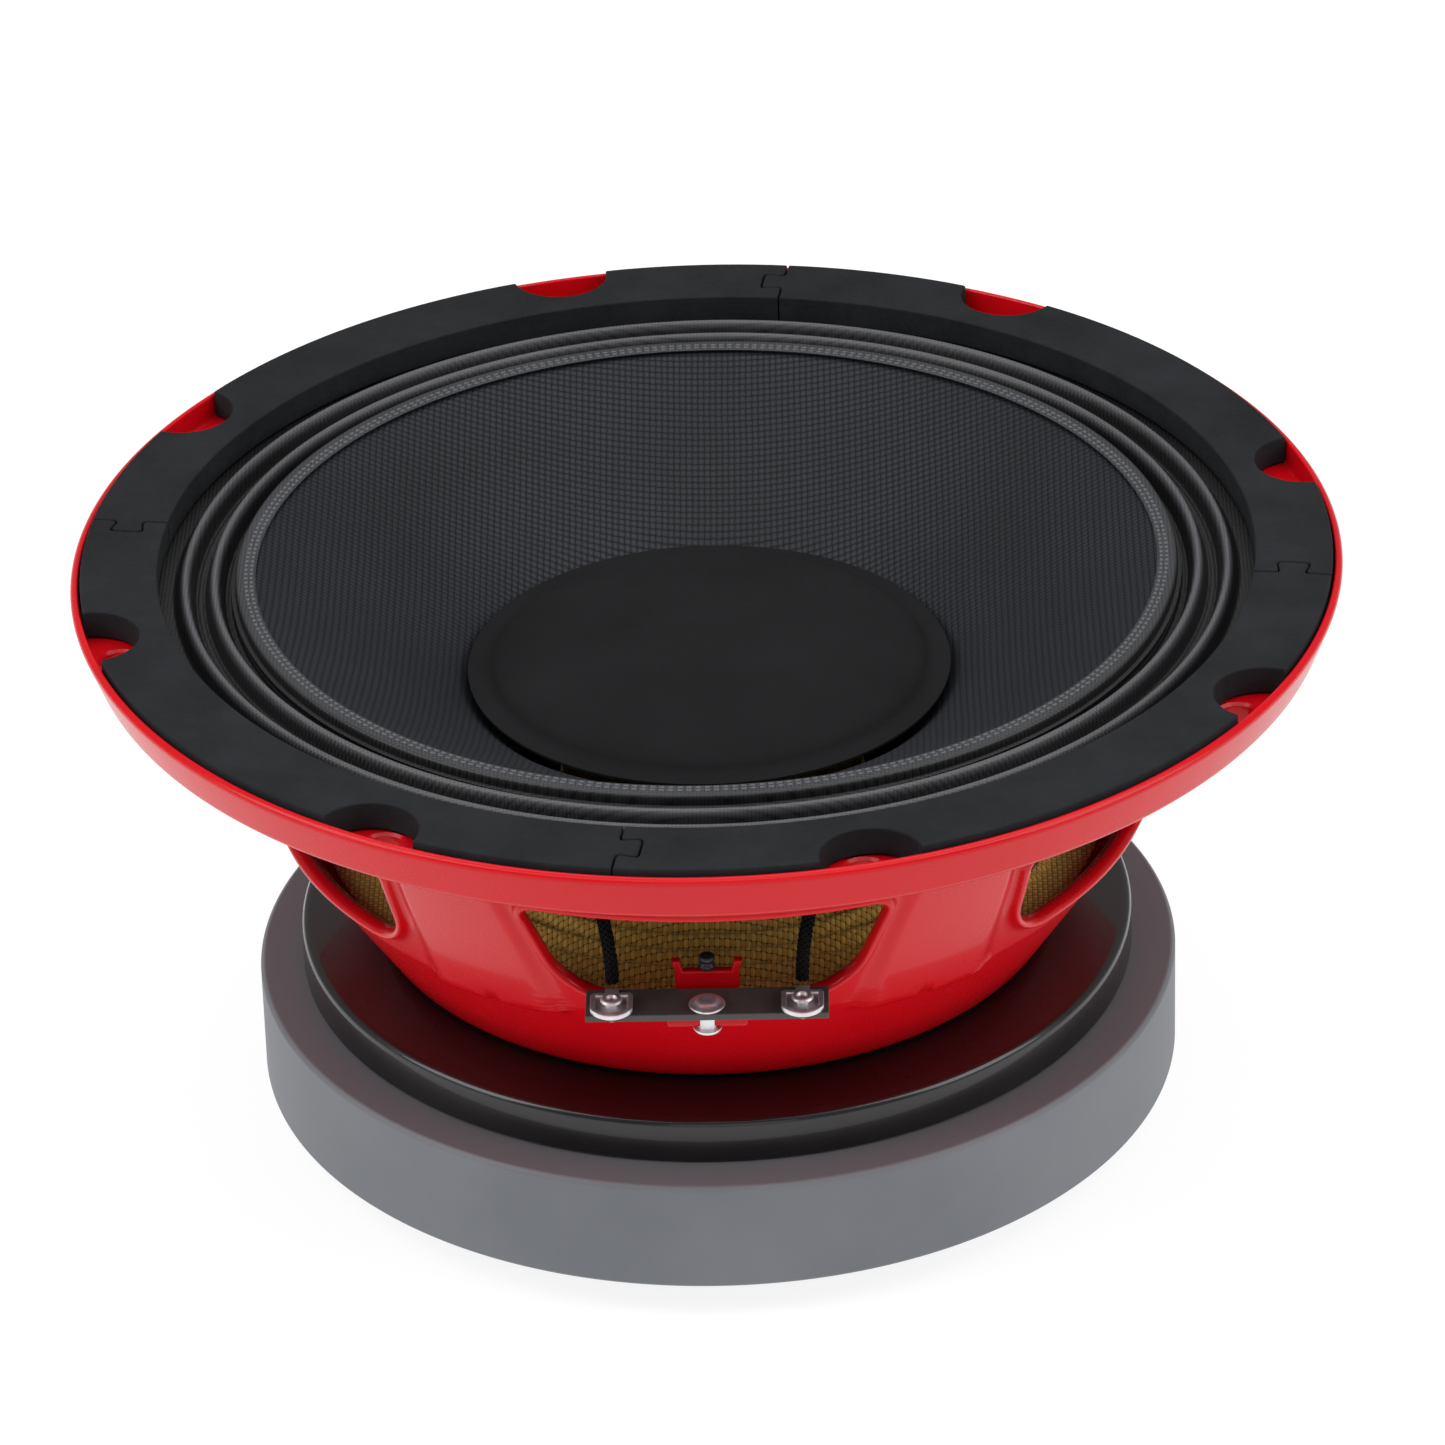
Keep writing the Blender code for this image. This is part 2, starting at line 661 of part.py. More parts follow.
def build_spider():
    """Corrugated cloth that centres the coil, from the former out to the shelf."""
    cloth = material("spider_cloth", (140, 98, 50), 0.85)
    middle = spider_z + CLOTH
    outer = bowl_radius(shelf_z) - BOWL_WALL - SPIDER_EDGE_CLEARANCE
    inner = neck_inner
    landing = outer - SHELF_WIDTH
    upper = [(outer, middle), (landing, middle)]
    crests = int((landing - inner - SPIDER_COLLAR) / (SPIDER_PITCH / 2)) - 1
    for step in range(1, crests + 1):
        side = SPIDER_AMPLITUDE if step % 2 else -SPIDER_AMPLITUDE
        upper.append((landing - step * SPIDER_PITCH / 2, middle + side))
    upper += [(inner + SPIDER_COLLAR / 2, middle), (inner, middle + SPIDER_NECK_LIFT)]
    turned("spider", sheet_profile(upper, CLOTH), cloth, SPIDER_SEGMENTS)


# ---- terminals -----------------------------------------------------------------------------


def rivet(name, place, head_radius, shank_radius, top, bottom, head_height, finish):
    """Domed rivet from its head at height top down to a flat head at height bottom."""
    foot = bottom - head_height / 2
    profile = [
        (0.0, foot),
        (head_radius * 0.8, foot),
        (head_radius * 0.8, bottom),
        (shank_radius, bottom),
        (shank_radius, top),
        (head_radius, top),
        (head_radius * 0.82, top + head_height * 0.6),
        (head_radius * 0.4, top + head_height),
        (0.0, top + head_height),
    ]
    bm = spun(profile, 20)
    bmesh.ops.translate(bm, verts=bm.verts, vec=place)
    return add_object(name, bm, finish)


def build_terminals():
    fibre = material("terminal_fibre", (30, 31, 31), 0.6)
    silver = material("tinned_brass", (205, 208, 212), 0.25, 1.0)
    moulded = material("black_nylon", (48, 46, 52), 0.35)
    back = board_back()
    front = back - BOARD_DEPTH
    half = BOARD_LENGTH / 2
    board = add_object(
        "terminal_board", block((-half, front, board_z), (half, back, board_top)), fibre
    )
    lug_front = front - LUG_OVERHANG
    lug_back = lug_front + LUG_LENGTH
    eyelet_y = front + BOARD_DEPTH * LUG_RIVET_SHARE
    lug_holes = [Vector((x, eyelet_y, 0)) for x in lug_centres]
    drill(board, "lug", LUG_RIVET_RADIUS + GAP, board_z, board_top, lug_holes)
    centre = board_rivet_place()
    drill(board, "rivet", BOARD_RIVET_RADIUS + GAP, board_z, board_top, [centre])
    rivet(
        "terminal_rivet",
        centre,
        BOARD_RIVET_HEAD,
        BOARD_RIVET_RADIUS,
        board_top + GAP,
        sill_z - TAB_THICKNESS - GAP,
        BOARD_RIVET_RISE,
        silver,
    )
    for side, x, place in zip(("left", "right"), lug_centres, lug_holes):
        radius = LUG_WIDTH / 2
        arc = [math.pi * i / 8 for i in range(1, 8)]
        outline = [(x + radius, lug_back, lug_z), (x - radius, lug_back, lug_z)]
        outline += [
            (
                x - radius * math.cos(turn),
                lug_front + radius * LUG_NOSE_SHARE * (1 - math.sin(turn)),
                lug_z,
            )
            for turn in [0.0] + arc + [math.pi]
        ]
        bm = prism(outline, (0, 0, LUG_THICKNESS))
        lug = add_object(f"terminal_{side}", bm, silver)
        drill(lug, "rivet", LUG_RIVET_RADIUS + GAP, lug_z, lug_top, [place])
        rivet(
            f"lug_rivet_{side}",
            place,
            LUG_RIVET_HEAD,
            LUG_RIVET_RADIUS,
            lug_top + GAP,
            board_z - GAP,
            LUG_RIVET_RISE,
            silver,
        )
    peg_y = BOWL_WALL - bowl_radius(sill_z) + GAP - BRACKET_THICKNESS / 2
    peg_low = sill_z + BRACKET_HEIGHT + GAP
    peg_high = peg_low + PEG_HEIGHT
    bm = spun(
        [
            (0.0, peg_low),
            (PEG_RADIUS, peg_low),
            (PEG_RADIUS, peg_high - PEG_RADIUS / 2),
            (PEG_RADIUS * 0.7, peg_high),
            (0.0, peg_high),
        ],
        16,
    )
    bmesh.ops.translate(bm, verts=bm.verts, vec=(0, peg_y, 0))
    add_object("lead_peg", bm, moulded)


def build_leads():
    """Tinsel leads from the tails of the lugs up to eyelets under the cone."""
    braid = material("lead_braid", (18, 18, 19), 0.7)
    silver = material("eyelet_metal", (190, 190, 192), 0.35, 1.0)
    tail_y = board_back() - BOARD_DEPTH - LUG_OVERHANG + LUG_LENGTH
    slope = math.atan2(CAP_DROP, cone_edge - CAP_RADIUS)
    radius = cone_edge - EYELET_TO_EDGE
    for side, x in zip(("left", "right"), lug_centres):
        azimuth = math.asin(x * EYELET_SPREAD / radius)
        contact = polar(radius, azimuth, cone_height(radius) - CONE_WALL * 1.3)
        down = polar(math.sin(slope), azimuth, -math.cos(slope))
        centre = contact + down * (GAP + EYELET_HEIGHT / 2)
        turn = Vector((0, 0, -1)).rotation_difference(down).to_matrix().to_4x4()
        bm = bmesh.new()
        bmesh.ops.create_cone(
            bm,
            cap_ends=True,
            segments=16,
            radius1=EYELET_RADIUS,
            radius2=EYELET_RADIUS,
            depth=EYELET_HEIGHT,
            matrix=Matrix.Translation(centre) @ turn,
        )
        add_object(f"lead_eyelet_{side}", bm, silver)
        finish = centre + down * (EYELET_HEIGHT / 2 + GAP)
        start = Vector((x, tail_y + GAP + LEAD_RADIUS, lug_top))
        reach = LEAD_SWING * (finish - start).length
        bends = (start, start + Vector((0, 0, reach)), finish + down * reach, finish)
        add_lead(f"tinsel_lead_{side}", bends, braid)


def add_lead(name, bends, finish):
    """Round lead along a cubic curve through four control points."""
    a, b, c, d = bends
    count = 12
    curve = bpy.data.curves.new(name, "CURVE")
    curve.dimensions = "3D"
    curve.bevel_depth = LEAD_RADIUS
    curve.bevel_resolution = 2
    curve.use_fill_caps = True
    spline = curve.splines.new("POLY")
    spline.points.add(count)
    for index, point in enumerate(spline.points):
        t = index / count
        u = 1 - t
        place = a * u**3 + b * 3 * u * u * t + c * 3 * u * t * t + d * t**3
        point.co = (*place, 1.0)
    curve.materials.append(finish)
    lead = bpy.data.objects.new(name, curve)
    bpy.context.scene.collection.objects.link(lead)


def build_frame_screws():
    zinc = material("screw_zinc", (160, 162, 165), 0.3, 1.0)
    head_z = floor_z + GAP
    for index, place in enumerate(frame_screw_places()):
        low = plate_top - FRAME_SCREW_DEPTH
        top = head_z + FRAME_SCREW_HEAD_HEIGHT
        bm = spun(
            [
                (0.0, low),
                (FRAME_SCREW_RADIUS, low),
                (FRAME_SCREW_RADIUS, head_z),
                (FRAME_SCREW_HEAD_RADIUS, head_z),
                (FRAME_SCREW_HEAD_RADIUS * 0.8, top),
                (0.0, top),
            ],
            16,
        )
        bmesh.ops.translate(bm, verts=bm.verts, vec=place)
        add_object(f"frame_screw_{index + 1}", bm, zinc)


for leftover in list(bpy.data.objects):
    bpy.data.objects.remove(leftover)
build_motor()
build_basket()
build_gasket()
build_cone()
build_coil()
build_surround()
build_spider()
build_terminals()
build_leads()
build_frame_screws()
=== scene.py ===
# Car subwoofer speaker: a red steel basket on a ferrite motor, with a woven cone.
# Metres, +Z up. Azimuth 0 is -Y, the side of the terminals, and azimuths grow towards +X.
import math

import bmesh
import bpy
import numpy as np
from mathutils import Matrix, Vector
from mathutils.geometry import interpolate_bezier


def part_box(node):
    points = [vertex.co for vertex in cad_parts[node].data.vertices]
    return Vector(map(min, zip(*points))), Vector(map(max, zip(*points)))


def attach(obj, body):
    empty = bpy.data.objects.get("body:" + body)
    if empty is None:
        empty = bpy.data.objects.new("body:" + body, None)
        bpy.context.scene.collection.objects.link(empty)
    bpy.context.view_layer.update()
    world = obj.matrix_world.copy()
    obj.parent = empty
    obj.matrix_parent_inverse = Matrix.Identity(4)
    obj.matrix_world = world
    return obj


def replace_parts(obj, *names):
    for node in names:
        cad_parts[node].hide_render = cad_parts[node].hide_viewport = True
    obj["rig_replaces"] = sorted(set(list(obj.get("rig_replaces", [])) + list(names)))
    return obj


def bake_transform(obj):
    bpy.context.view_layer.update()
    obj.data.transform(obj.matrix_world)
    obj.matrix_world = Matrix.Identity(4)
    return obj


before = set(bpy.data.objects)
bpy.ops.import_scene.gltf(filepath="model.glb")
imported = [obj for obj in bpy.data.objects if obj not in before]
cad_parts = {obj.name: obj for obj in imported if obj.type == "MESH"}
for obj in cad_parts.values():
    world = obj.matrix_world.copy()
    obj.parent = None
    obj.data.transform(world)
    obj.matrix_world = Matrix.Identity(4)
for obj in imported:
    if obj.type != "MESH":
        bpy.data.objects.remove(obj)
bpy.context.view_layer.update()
print("frame loaded with", len(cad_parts), "nodes")

mm = 0.001
box = {name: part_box(name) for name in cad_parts}
low = {name: corners[0] for name, corners in box.items()}
high = {name: corners[1] for name, corners in box.items()}


def polar(radius, azimuth, z=0.0):
    return Vector((radius * math.sin(azimuth), -radius * math.cos(azimuth), z))


studio = {
    "cameraAzimuth": 1.5,
    "cameraReach": 1157.7 * mm,
    "cameraHeight": 737.0 * mm,
    "cameraPitch": 59.98,  # from straight down
    "cameraHeading": 1.405,
    "cameraRoll": -1.716,
    "lens": 198.2,
    "sensor": 36.0,
    "floorSize": 12.0,
    "floorDrop": 0.15 * mm,
    "floorShade": 0.22,
    "floorGlow": 0.85,
    "skyStrength": 0.3,
    "lights": {  # azimuth, distance from the axis, height, size, power
        "keyLeft": (-72, 0.9, 0.75, (0.7, 0.9), 6.5),
        "keyRight": (74, 0.9, 0.7, (0.7, 0.9), 5.5),
        "topSheet": (165, 0.35, 1.3, (1.2, 0.8), 5.5),
        "frontTop": (2, 0.55, 1.15, (1.3, 0.35), 2.5),
        "frontFill": (4, 1.4, 0.45, (0.8, 0.5), 1.0),
    },
}


def addCamera():
    data = bpy.data.cameras.new("studioCamera")
    data.lens = studio["lens"]
    data.sensor_width = studio["sensor"]
    camera = bpy.data.objects.new("studioCamera", data)
    bpy.context.scene.collection.objects.link(camera)
    azimuth = math.radians(studio["cameraAzimuth"])
    place = Matrix.Translation(polar(studio["cameraReach"], azimuth, studio["cameraHeight"]))
    for key, axis in (("cameraHeading", "Z"), ("cameraPitch", "X"), ("cameraRoll", "Z")):
        place = place @ Matrix.Rotation(math.radians(studio[key]), 4, axis)
    camera.matrix_world = place
    bpy.context.scene.camera = camera


def addLight(name, azimuth, reach, height, size, power):
    data = bpy.data.lights.new(name, "AREA")
    data.shape = "RECTANGLE"
    data.size, data.size_y = size
    data.energy = power
    light = bpy.data.objects.new(name, data)
    place = polar(reach, math.radians(azimuth), height)
    light.location = place
    light.rotation_euler = (Vector((0, 0, 0.05)) - place).to_track_quat("-Z", "Y").to_euler()
    bpy.context.scene.collection.objects.link(light)


def addStudio():
    world = bpy.data.worlds.new("studioSky")
    world.use_nodes = True
    sky = world.node_tree.nodes["Background"].inputs
    sky["Color"].default_value = (1, 1, 1, 1)
    sky["Strength"].default_value = studio["skyStrength"]
    bpy.context.scene.world = world
    bpy.context.scene.view_settings.view_transform = "Standard"
    for name, values in studio["lights"].items():
        addLight(name, *values)
    bm = bmesh.new()
    bmesh.ops.create_grid(bm, x_segments=1, y_segments=1, size=studio["floorSize"] / 2)
    bmesh.ops.translate(bm, verts=bm.verts, vec=(0, 0, -studio["floorDrop"]))
    mesh = bpy.data.meshes.new("studioFloor")
    bm.to_mesh(mesh)
    bm.free()
    floor = bpy.data.objects.new("studioFloor", mesh)
    bpy.context.scene.collection.objects.link(floor)
    paper = bpy.data.materials.new("floorPaper")
    paper.use_nodes = True
    shader = paper.node_tree.nodes["Principled BSDF"].inputs
    shader["Base Color"].default_value = (*[studio["floorShade"]] * 3, 1)
    shader["Roughness"].default_value = 0.9
    shader["Specular IOR Level"].default_value = 0.1
    shader["Emission Color"].default_value = (1, 1, 1, 1)
    shader["Emission Strength"].default_value = studio["floorGlow"]
    mesh.materials.append(paper)


addCamera()
addStudio()
print("studio ready")


class Wire:
    # one output socket, so that shader maths can be written with + - * / **

    def __init__(self, paint, socket):
        self.paint, self.socket = paint, socket

    def maths(self, operation, *others, clamp=False):
        return self.paint.maths(operation, self, *others, clamp=clamp)

    def __add__(self, other):
        return self.maths("ADD", other)

    def __sub__(self, other):
        return self.maths("SUBTRACT", other)

    def __rsub__(self, other):
        return self.paint.maths("SUBTRACT", other, self)

    def __mul__(self, other):
        return self.maths("MULTIPLY", other)

    def __truediv__(self, other):
        return self.maths("DIVIDE", other)

    def __rtruediv__(self, other):
        return self.paint.maths("DIVIDE", other, self)

    def __pow__(self, other):
        return self.maths("POWER", other)

    __radd__ = __add__
    __rmul__ = __mul__


class Paint:
    # a Principled material and the nodes behind it

    def __init__(self, name, **plain):
        self.material = bpy.data.materials.new(name)
        self.material.use_nodes = True
        self.tree = self.material.node_tree
        self.shader = self.tree.nodes["Principled BSDF"]
        self.set(**plain)

    def node(self, kind, settings, output, **inputs):
        made = self.tree.nodes.new(kind)
        for key, value in settings.items():
            setattr(made, key, value)
        for key, value in inputs.items():
            socket = int(key[1:]) if key[1:].isdigit() else key.replace("_", " ")
            self.plug(made.inputs[socket], value)
        return Wire(self, made.outputs[output])

    def plug(self, socket, value):
        if isinstance(value, Wire):
            self.tree.links.new(value.socket, socket)
        else:
            socket.default_value = value

    def set(self, **inputs):
        for key, value in inputs.items():
            self.plug(self.shader.inputs[key.replace("_", " ")], value)

    def maths(self, operation, *values, clamp=False):
        settings = {"operation": operation, "use_clamp": clamp}
        inputs = {f"i{index}": value for index, value in enumerate(values)}
        return self.node("ShaderNodeMath", settings, 0, **inputs)

    def place(self):
        return self.node("ShaderNodeTexCoord", {}, "Object")

    def parts(self, vector):
        made = self.node("ShaderNodeSeparateXYZ", {}, 0, i0=vector)
        return [Wire(self, socket) for socket in made.socket.node.outputs]

    def joined(self, x, y, z):
        return self.node("ShaderNodeCombineXYZ", {}, 0, X=x, Y=y, Z=z)

    def noise(self, scale, detail, roughness, vector=None):
        inputs = {"Scale": scale, "Detail": detail, "Roughness": roughness}
        return self.node("ShaderNodeTexNoise", {}, 0, Vector=vector or self.place(), **inputs)

    def grains(self, scale):
        return self.node("ShaderNodeTexVoronoi", {}, "Distance", Vector=self.place(), Scale=scale)

    def blend(self, share, first, second):
        # from the first colour to the second by share, 0 to 1
        colours = [value if isinstance(value, Wire) else (*value, 1) for value in (first, second)]
        inputs = {"i0": share, "i6": colours[0], "i7": colours[1]}
        return self.node("ShaderNodeMix", {"data_type": "RGBA"}, 2, **inputs)

    def spread(self, value, fromLow, fromHigh, toLow=0.0, toHigh=1.0):
        inputs = {"i0": value, "i1": fromLow, "i2": fromHigh, "i3": toLow, "i4": toHigh}
        return self.node("ShaderNodeMapRange", {}, 0, **inputs)

    def bump(self, height, distance, strength=1.0):
        inputs = {"Strength": strength, "Distance": distance, "Height": height}
        self.set(Normal=self.node("ShaderNodeBump", {}, 0, **inputs))

    def angle(self, x, y):
        return self.maths("ARCTAN2", y, x)

    def reach(self, x, y):
        return self.maths("SQRT", x * x + y * y)

    def weave(self, across, along):
        # plain weave of threads one unit wide: (height 0 to 1, which thread is on top)
        sideways = (across * math.pi).maths("SINE")
        lengthways = (along * math.pi).maths("SINE")
        warp, weft = sideways.maths("ABSOLUTE"), lengthways.maths("ABSOLUTE")
        onTop = self.maths("MULTIPLY_ADD", sideways * lengthways, 9.0, 0.5, clamp=True)
        warpHeight = (warp ** 0.55) * (weft * 0.45 + 0.55)
        weftHeight = (weft ** 0.55) * (warp * 0.45 + 0.55)
        return onTop * warpHeight + (1 - onTop) * weftHeight, onTop


def tone(red, green, blue):
    # linear colour from a screen colour of 0 to 255
    return tuple((channel / 255) ** 2.2 for channel in (red, green, blue))


def clouded(name, cloud, grain, colours, gloss, depth, strength=0.5, **plain):
    # colour and roughness drift with soft clouds, under a fine grain
    paint = Paint(name, **plain)
    drift = paint.noise(*cloud)
    paint.set(Base_Color=paint.blend(drift, *colours))
    paint.set(Roughness=paint.spread(drift, 0.3, 0.7, *gloss))
    paint.bump(paint.noise(*grain), depth, strength)
    return paint


def rounded(points, steps=6):
    # outline of (radius, height, fillet) points with its corners rounded
    outline = []
    for index, (radius, height, fillet) in enumerate(points):
        corner = Vector((radius, height))
        before = Vector(points[index - 1][:2])
        after = Vector(points[(index + 1) % len(points)][:2])
        if fillet <= 0:
            outline.append(corner)
            continue
        start, end = (
            corner + side.normalized() * min(fillet, side.length * 0.49)
            for side in (before - corner, after - corner)
        )
        for step in range(steps + 1):
            share = step / steps
            outline.append(start.lerp(corner, share).lerp(corner.lerp(end, share), share))
    return outline


def softened(points, rounds):
    # open line with its corners cut again and again, its ends kept
    line = [Vector(point) for point in points]
    for _ in range(rounds):
        cut = [line[0]]
        for first, second in zip(line, line[1:]):
            cut += [first.lerp(second, 0.25), first.lerp(second, 0.75)]
        line = cut + [line[-1]]
    return line


def sheetOutline(line, thickness):
    # closed outline of a sheet that hangs below an open line
    under = []
    for index, point in enumerate(line):
        before, after = line[max(index - 1, 0)], line[min(index + 1, len(line) - 1)]
        run = (after - before).normalized()
        side = Vector((run.y, -run.x))
        under.append(point + side * (thickness if side.y < 0 else -thickness))
    return line + under[::-1]


def spun(outline, steps):
    # closed outline of (radius, height) points, turned once round the axis
    bm = bmesh.new()
    ring = [bm.verts.new((0, -point[0], point[1])) for point in outline]
    edges = [bm.edges.new(pair) for pair in zip(ring, ring[1:] + ring[:1])]
    turn = {"cent": (0, 0, 0), "axis": (0, 0, 1), "angle": math.tau}
    bmesh.ops.spin(bm, geom=ring + edges, steps=steps, use_merge=True, **turn)
    bmesh.ops.remove_doubles(bm, verts=bm.verts, dist=1e-6)
    bmesh.ops.delete(bm, geom=[edge for edge in bm.edges if edge.is_wire], context="EDGES")
    bmesh.ops.recalc_face_normals(bm, faces=bm.faces)
    return bm


def bevelled(bm, geom, width, segments=3, affect="EDGES"):
    shape = {"affect": affect, "segments": segments, "profile": 0.5, "material": -1}
    bmesh.ops.bevel(bm, geom=geom, offset=width, **shape)


def vertsOf(geom):
    return [item for item in geom if isinstance(item, bmesh.types.BMVert)]


def level(edge):
    return abs(edge.verts[0].co.z - edge.verts[1].co.z) < 0.001 * mm


def slab(outline, thickness, width):
    # flat outline of points at one height, pushed up, with its rims rounded
    bm = bmesh.new()
    face = bm.faces.new([bm.verts.new(point) for point in outline])
    made = bmesh.ops.extrude_face_region(bm, geom=[face])["geom"]
    bmesh.ops.translate(bm, verts=vertsOf(made), vec=(0, 0, thickness))
    bmesh.ops.recalc_face_normals(bm, faces=bm.faces)
    bevelled(bm, [edge for edge in bm.edges if level(edge)], width)
    return bm


def block(lowCorner, highCorner, edge, segments=3):
    lowCorner, highCorner = Vector(lowCorner), Vector(highCorner)
    place = Matrix.LocRotScale((lowCorner + highCorner) / 2, None, highCorner - lowCorner)
    bm = bmesh.new()
    bmesh.ops.create_cube(bm, size=1.0, matrix=place)
    bevelled(bm, bm.edges[:], edge, segments)
    return bm


def joinInto(bm, other):
    # adds the other mesh's shapes to bm
    mesh = bpy.data.meshes.new("part")
    other.to_mesh(mesh)
    other.free()
    bm.from_mesh(mesh)
    bpy.data.meshes.remove(mesh)
    return bm


def addPiece(name, bm, paint, nodes, body="frame", sharp=38.0, weighted=True):
    mesh = bpy.data.meshes.new(name)
    bm.to_mesh(mesh)
    bm.free()
    piece = bpy.data.objects.new(name, mesh)
    bpy.context.scene.collection.objects.link(piece)
    mesh.materials.append(paint.material)
    mesh.shade_smooth()
    mesh.set_sharp_from_angle(angle=math.radians(sharp))
    if weighted:
        modifier = piece.modifiers.new("evenShading", "WEIGHTED_NORMAL")
        modifier.keep_sharp = True
    if body:
        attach(piece, body)
    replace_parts(piece, *nodes)
    return piece


def bendRadially(piece, outerRadius, innerRadius):
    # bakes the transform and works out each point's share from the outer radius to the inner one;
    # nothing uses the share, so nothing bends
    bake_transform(piece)
    points = np.zeros(len(piece.data.vertices) * 3, np.float32)
    piece.data.vertices.foreach_get("co", points)
    reach = np.hypot(*points.reshape(-1, 3)[:, :2].T)
    share = np.clip((outerRadius - reach) / (outerRadius - innerRadius), 0, 1)


motor = {
    "poleRadius": 24.8 * mm,
    "ventRadius": 10.0 * mm,
    "ventFlare": 1.8 * mm,
    "yokeChamfer": 1.2 * mm,
    "yokeThickness": 6.0 * mm,
    "magnetBore": 40.0 * mm,
    "magnetChamfer": 0.7 * mm,
    "plateBore": 27.6 * mm,
    "plateFillet": 1.6 * mm,
    "steps": 240,
}


def zincSteel():
    paint = Paint("zincSteel", Metallic=1.0)
    x, y, z = paint.parts(paint.place())
    radius = paint.reach(x, y)
    rings = paint.noise(1.0, 4.0, 0.7, paint.joined(radius * 2600, z * 900, 0.0))
    cloud = paint.noise(38.0, 4.0, 0.6)
    shade = paint.spread(cloud, 0.3, 0.7)
    paint.set(Base_Color=paint.blend(shade, tone(146, 148, 152), tone(176, 177, 178)))
    paint.set(Roughness=paint.spread(rings + cloud * 0.5, 0.4, 1.1, 0.24, 0.46))
    paint.bump(rings, 0.03 * mm, 0.5)
    return paint


def ferriteGrey():
    paint = Paint("ferriteGrey", Specular_IOR_Level=0.35)
    x, y, z = paint.parts(paint.place())
    cloud = paint.noise(22.0, 5.0, 0.6)
    fine = paint.noise(1500.0, 2.0, 0.6)
    turned = paint.joined(paint.reach(x, y) * 500, z * 5200, paint.angle(x, y) * 3)
    grind = paint.noise(1.0, 3.0, 0.6, turned)
    top = high["magnet"].z
    flat = paint.spread(z, top - 0.25 * mm, top - 0.1 * mm)
    side = paint.blend(paint.spread(cloud, 0.3, 0.72), tone(104, 108, 113), tone(118, 121, 126))
    paint.set(Base_Color=paint.blend(flat, side, tone(102, 104, 108)))
    edge = paint.spread(z, top - 1.1 * mm, top - 0.5 * mm)
    nick = paint.spread(paint.grains(260.0), 0.18, 0.1) * edge * (1 - flat)
    paint.set(Roughness=paint.spread(cloud + grind * 0.4, 0.4, 1.0, 0.42, 0.62))
    paint.bump(fine * 0.5 + grind * 0.5 - nick, 0.05 * mm, 0.6)
    return paint


def blackPlate():
    colours = tone(18, 16, 17), tone(26, 23, 24)
    plain = {"Coat_Weight": 0.5, "Coat_Roughness": 0.06, "Specular_IOR_Level": 0.4}
    clouds, grain = (30.0, 4.0, 0.55), (900.0, 2.0, 0.5)
    return clouded("blackPlate", clouds, grain, colours, (0.2, 0.32), 0.012 * mm, 0.6, **plain)


def buildMotor():
    steps = motor["steps"]
    chamfer, flare, thick = motor["yokeChamfer"], motor["ventFlare"], motor["yokeThickness"]
    yokeRadius, poleTop = high["t_yoke"].x, high["t_yoke"].z
    vent, pole = motor["ventRadius"], motor["poleRadius"]
    outline = [
        (vent, flare, 0.5 * mm),
        (vent + flare, 0.0, 0.3 * mm),
        (yokeRadius - chamfer, 0.0, 0.4 * mm),
        (yokeRadius, chamfer, 0.4 * mm),
        (yokeRadius, thick, 0.8 * mm),
        (pole + 2.0 * mm, thick, 0.0),
        (pole, thick + 2.0 * mm, 0.8 * mm),
        (pole, poleTop, 0.8 * mm),
        (vent, poleTop, 0.8 * mm),
    ]
    addPiece("yokeAndPole", spun(rounded(outline), steps), zincSteel(), ["t_yoke"])
    bottom, top, radius = low["magnet"].z, high["magnet"].z, high["magnet"].x
    bore, chamfer = motor["magnetBore"], motor["magnetChamfer"]
    outline = [
        (bore, bottom, 0.6 * mm),
        (radius - chamfer, bottom, 0.3 * mm),
        (radius, bottom + chamfer, 0.3 * mm),
        (radius, top - chamfer, 0.3 * mm),
        (radius - chamfer, top, 0.3 * mm),
        (bore, top, 0.6 * mm),
    ]
    addPiece("ferriteRing", spun(rounded(outline), steps), ferriteGrey(), ["magnet"])
    bottom, top, radius = low["top_plate"].z, high["top_plate"].z, high["top_plate"].x
    outline = [
        (motor["plateBore"], bottom, 0.4 * mm),
        (radius, bottom, 0.5 * mm),
        (radius, top, motor["plateFillet"]),
        (motor["plateBore"], top, 0.6 * mm),
    ]
    plate = spun(rounded(outline, 8), steps)
    addPiece("frontPlate", plate, blackPlate(), ["top_plate"])


buildMotor()
print("motor built")


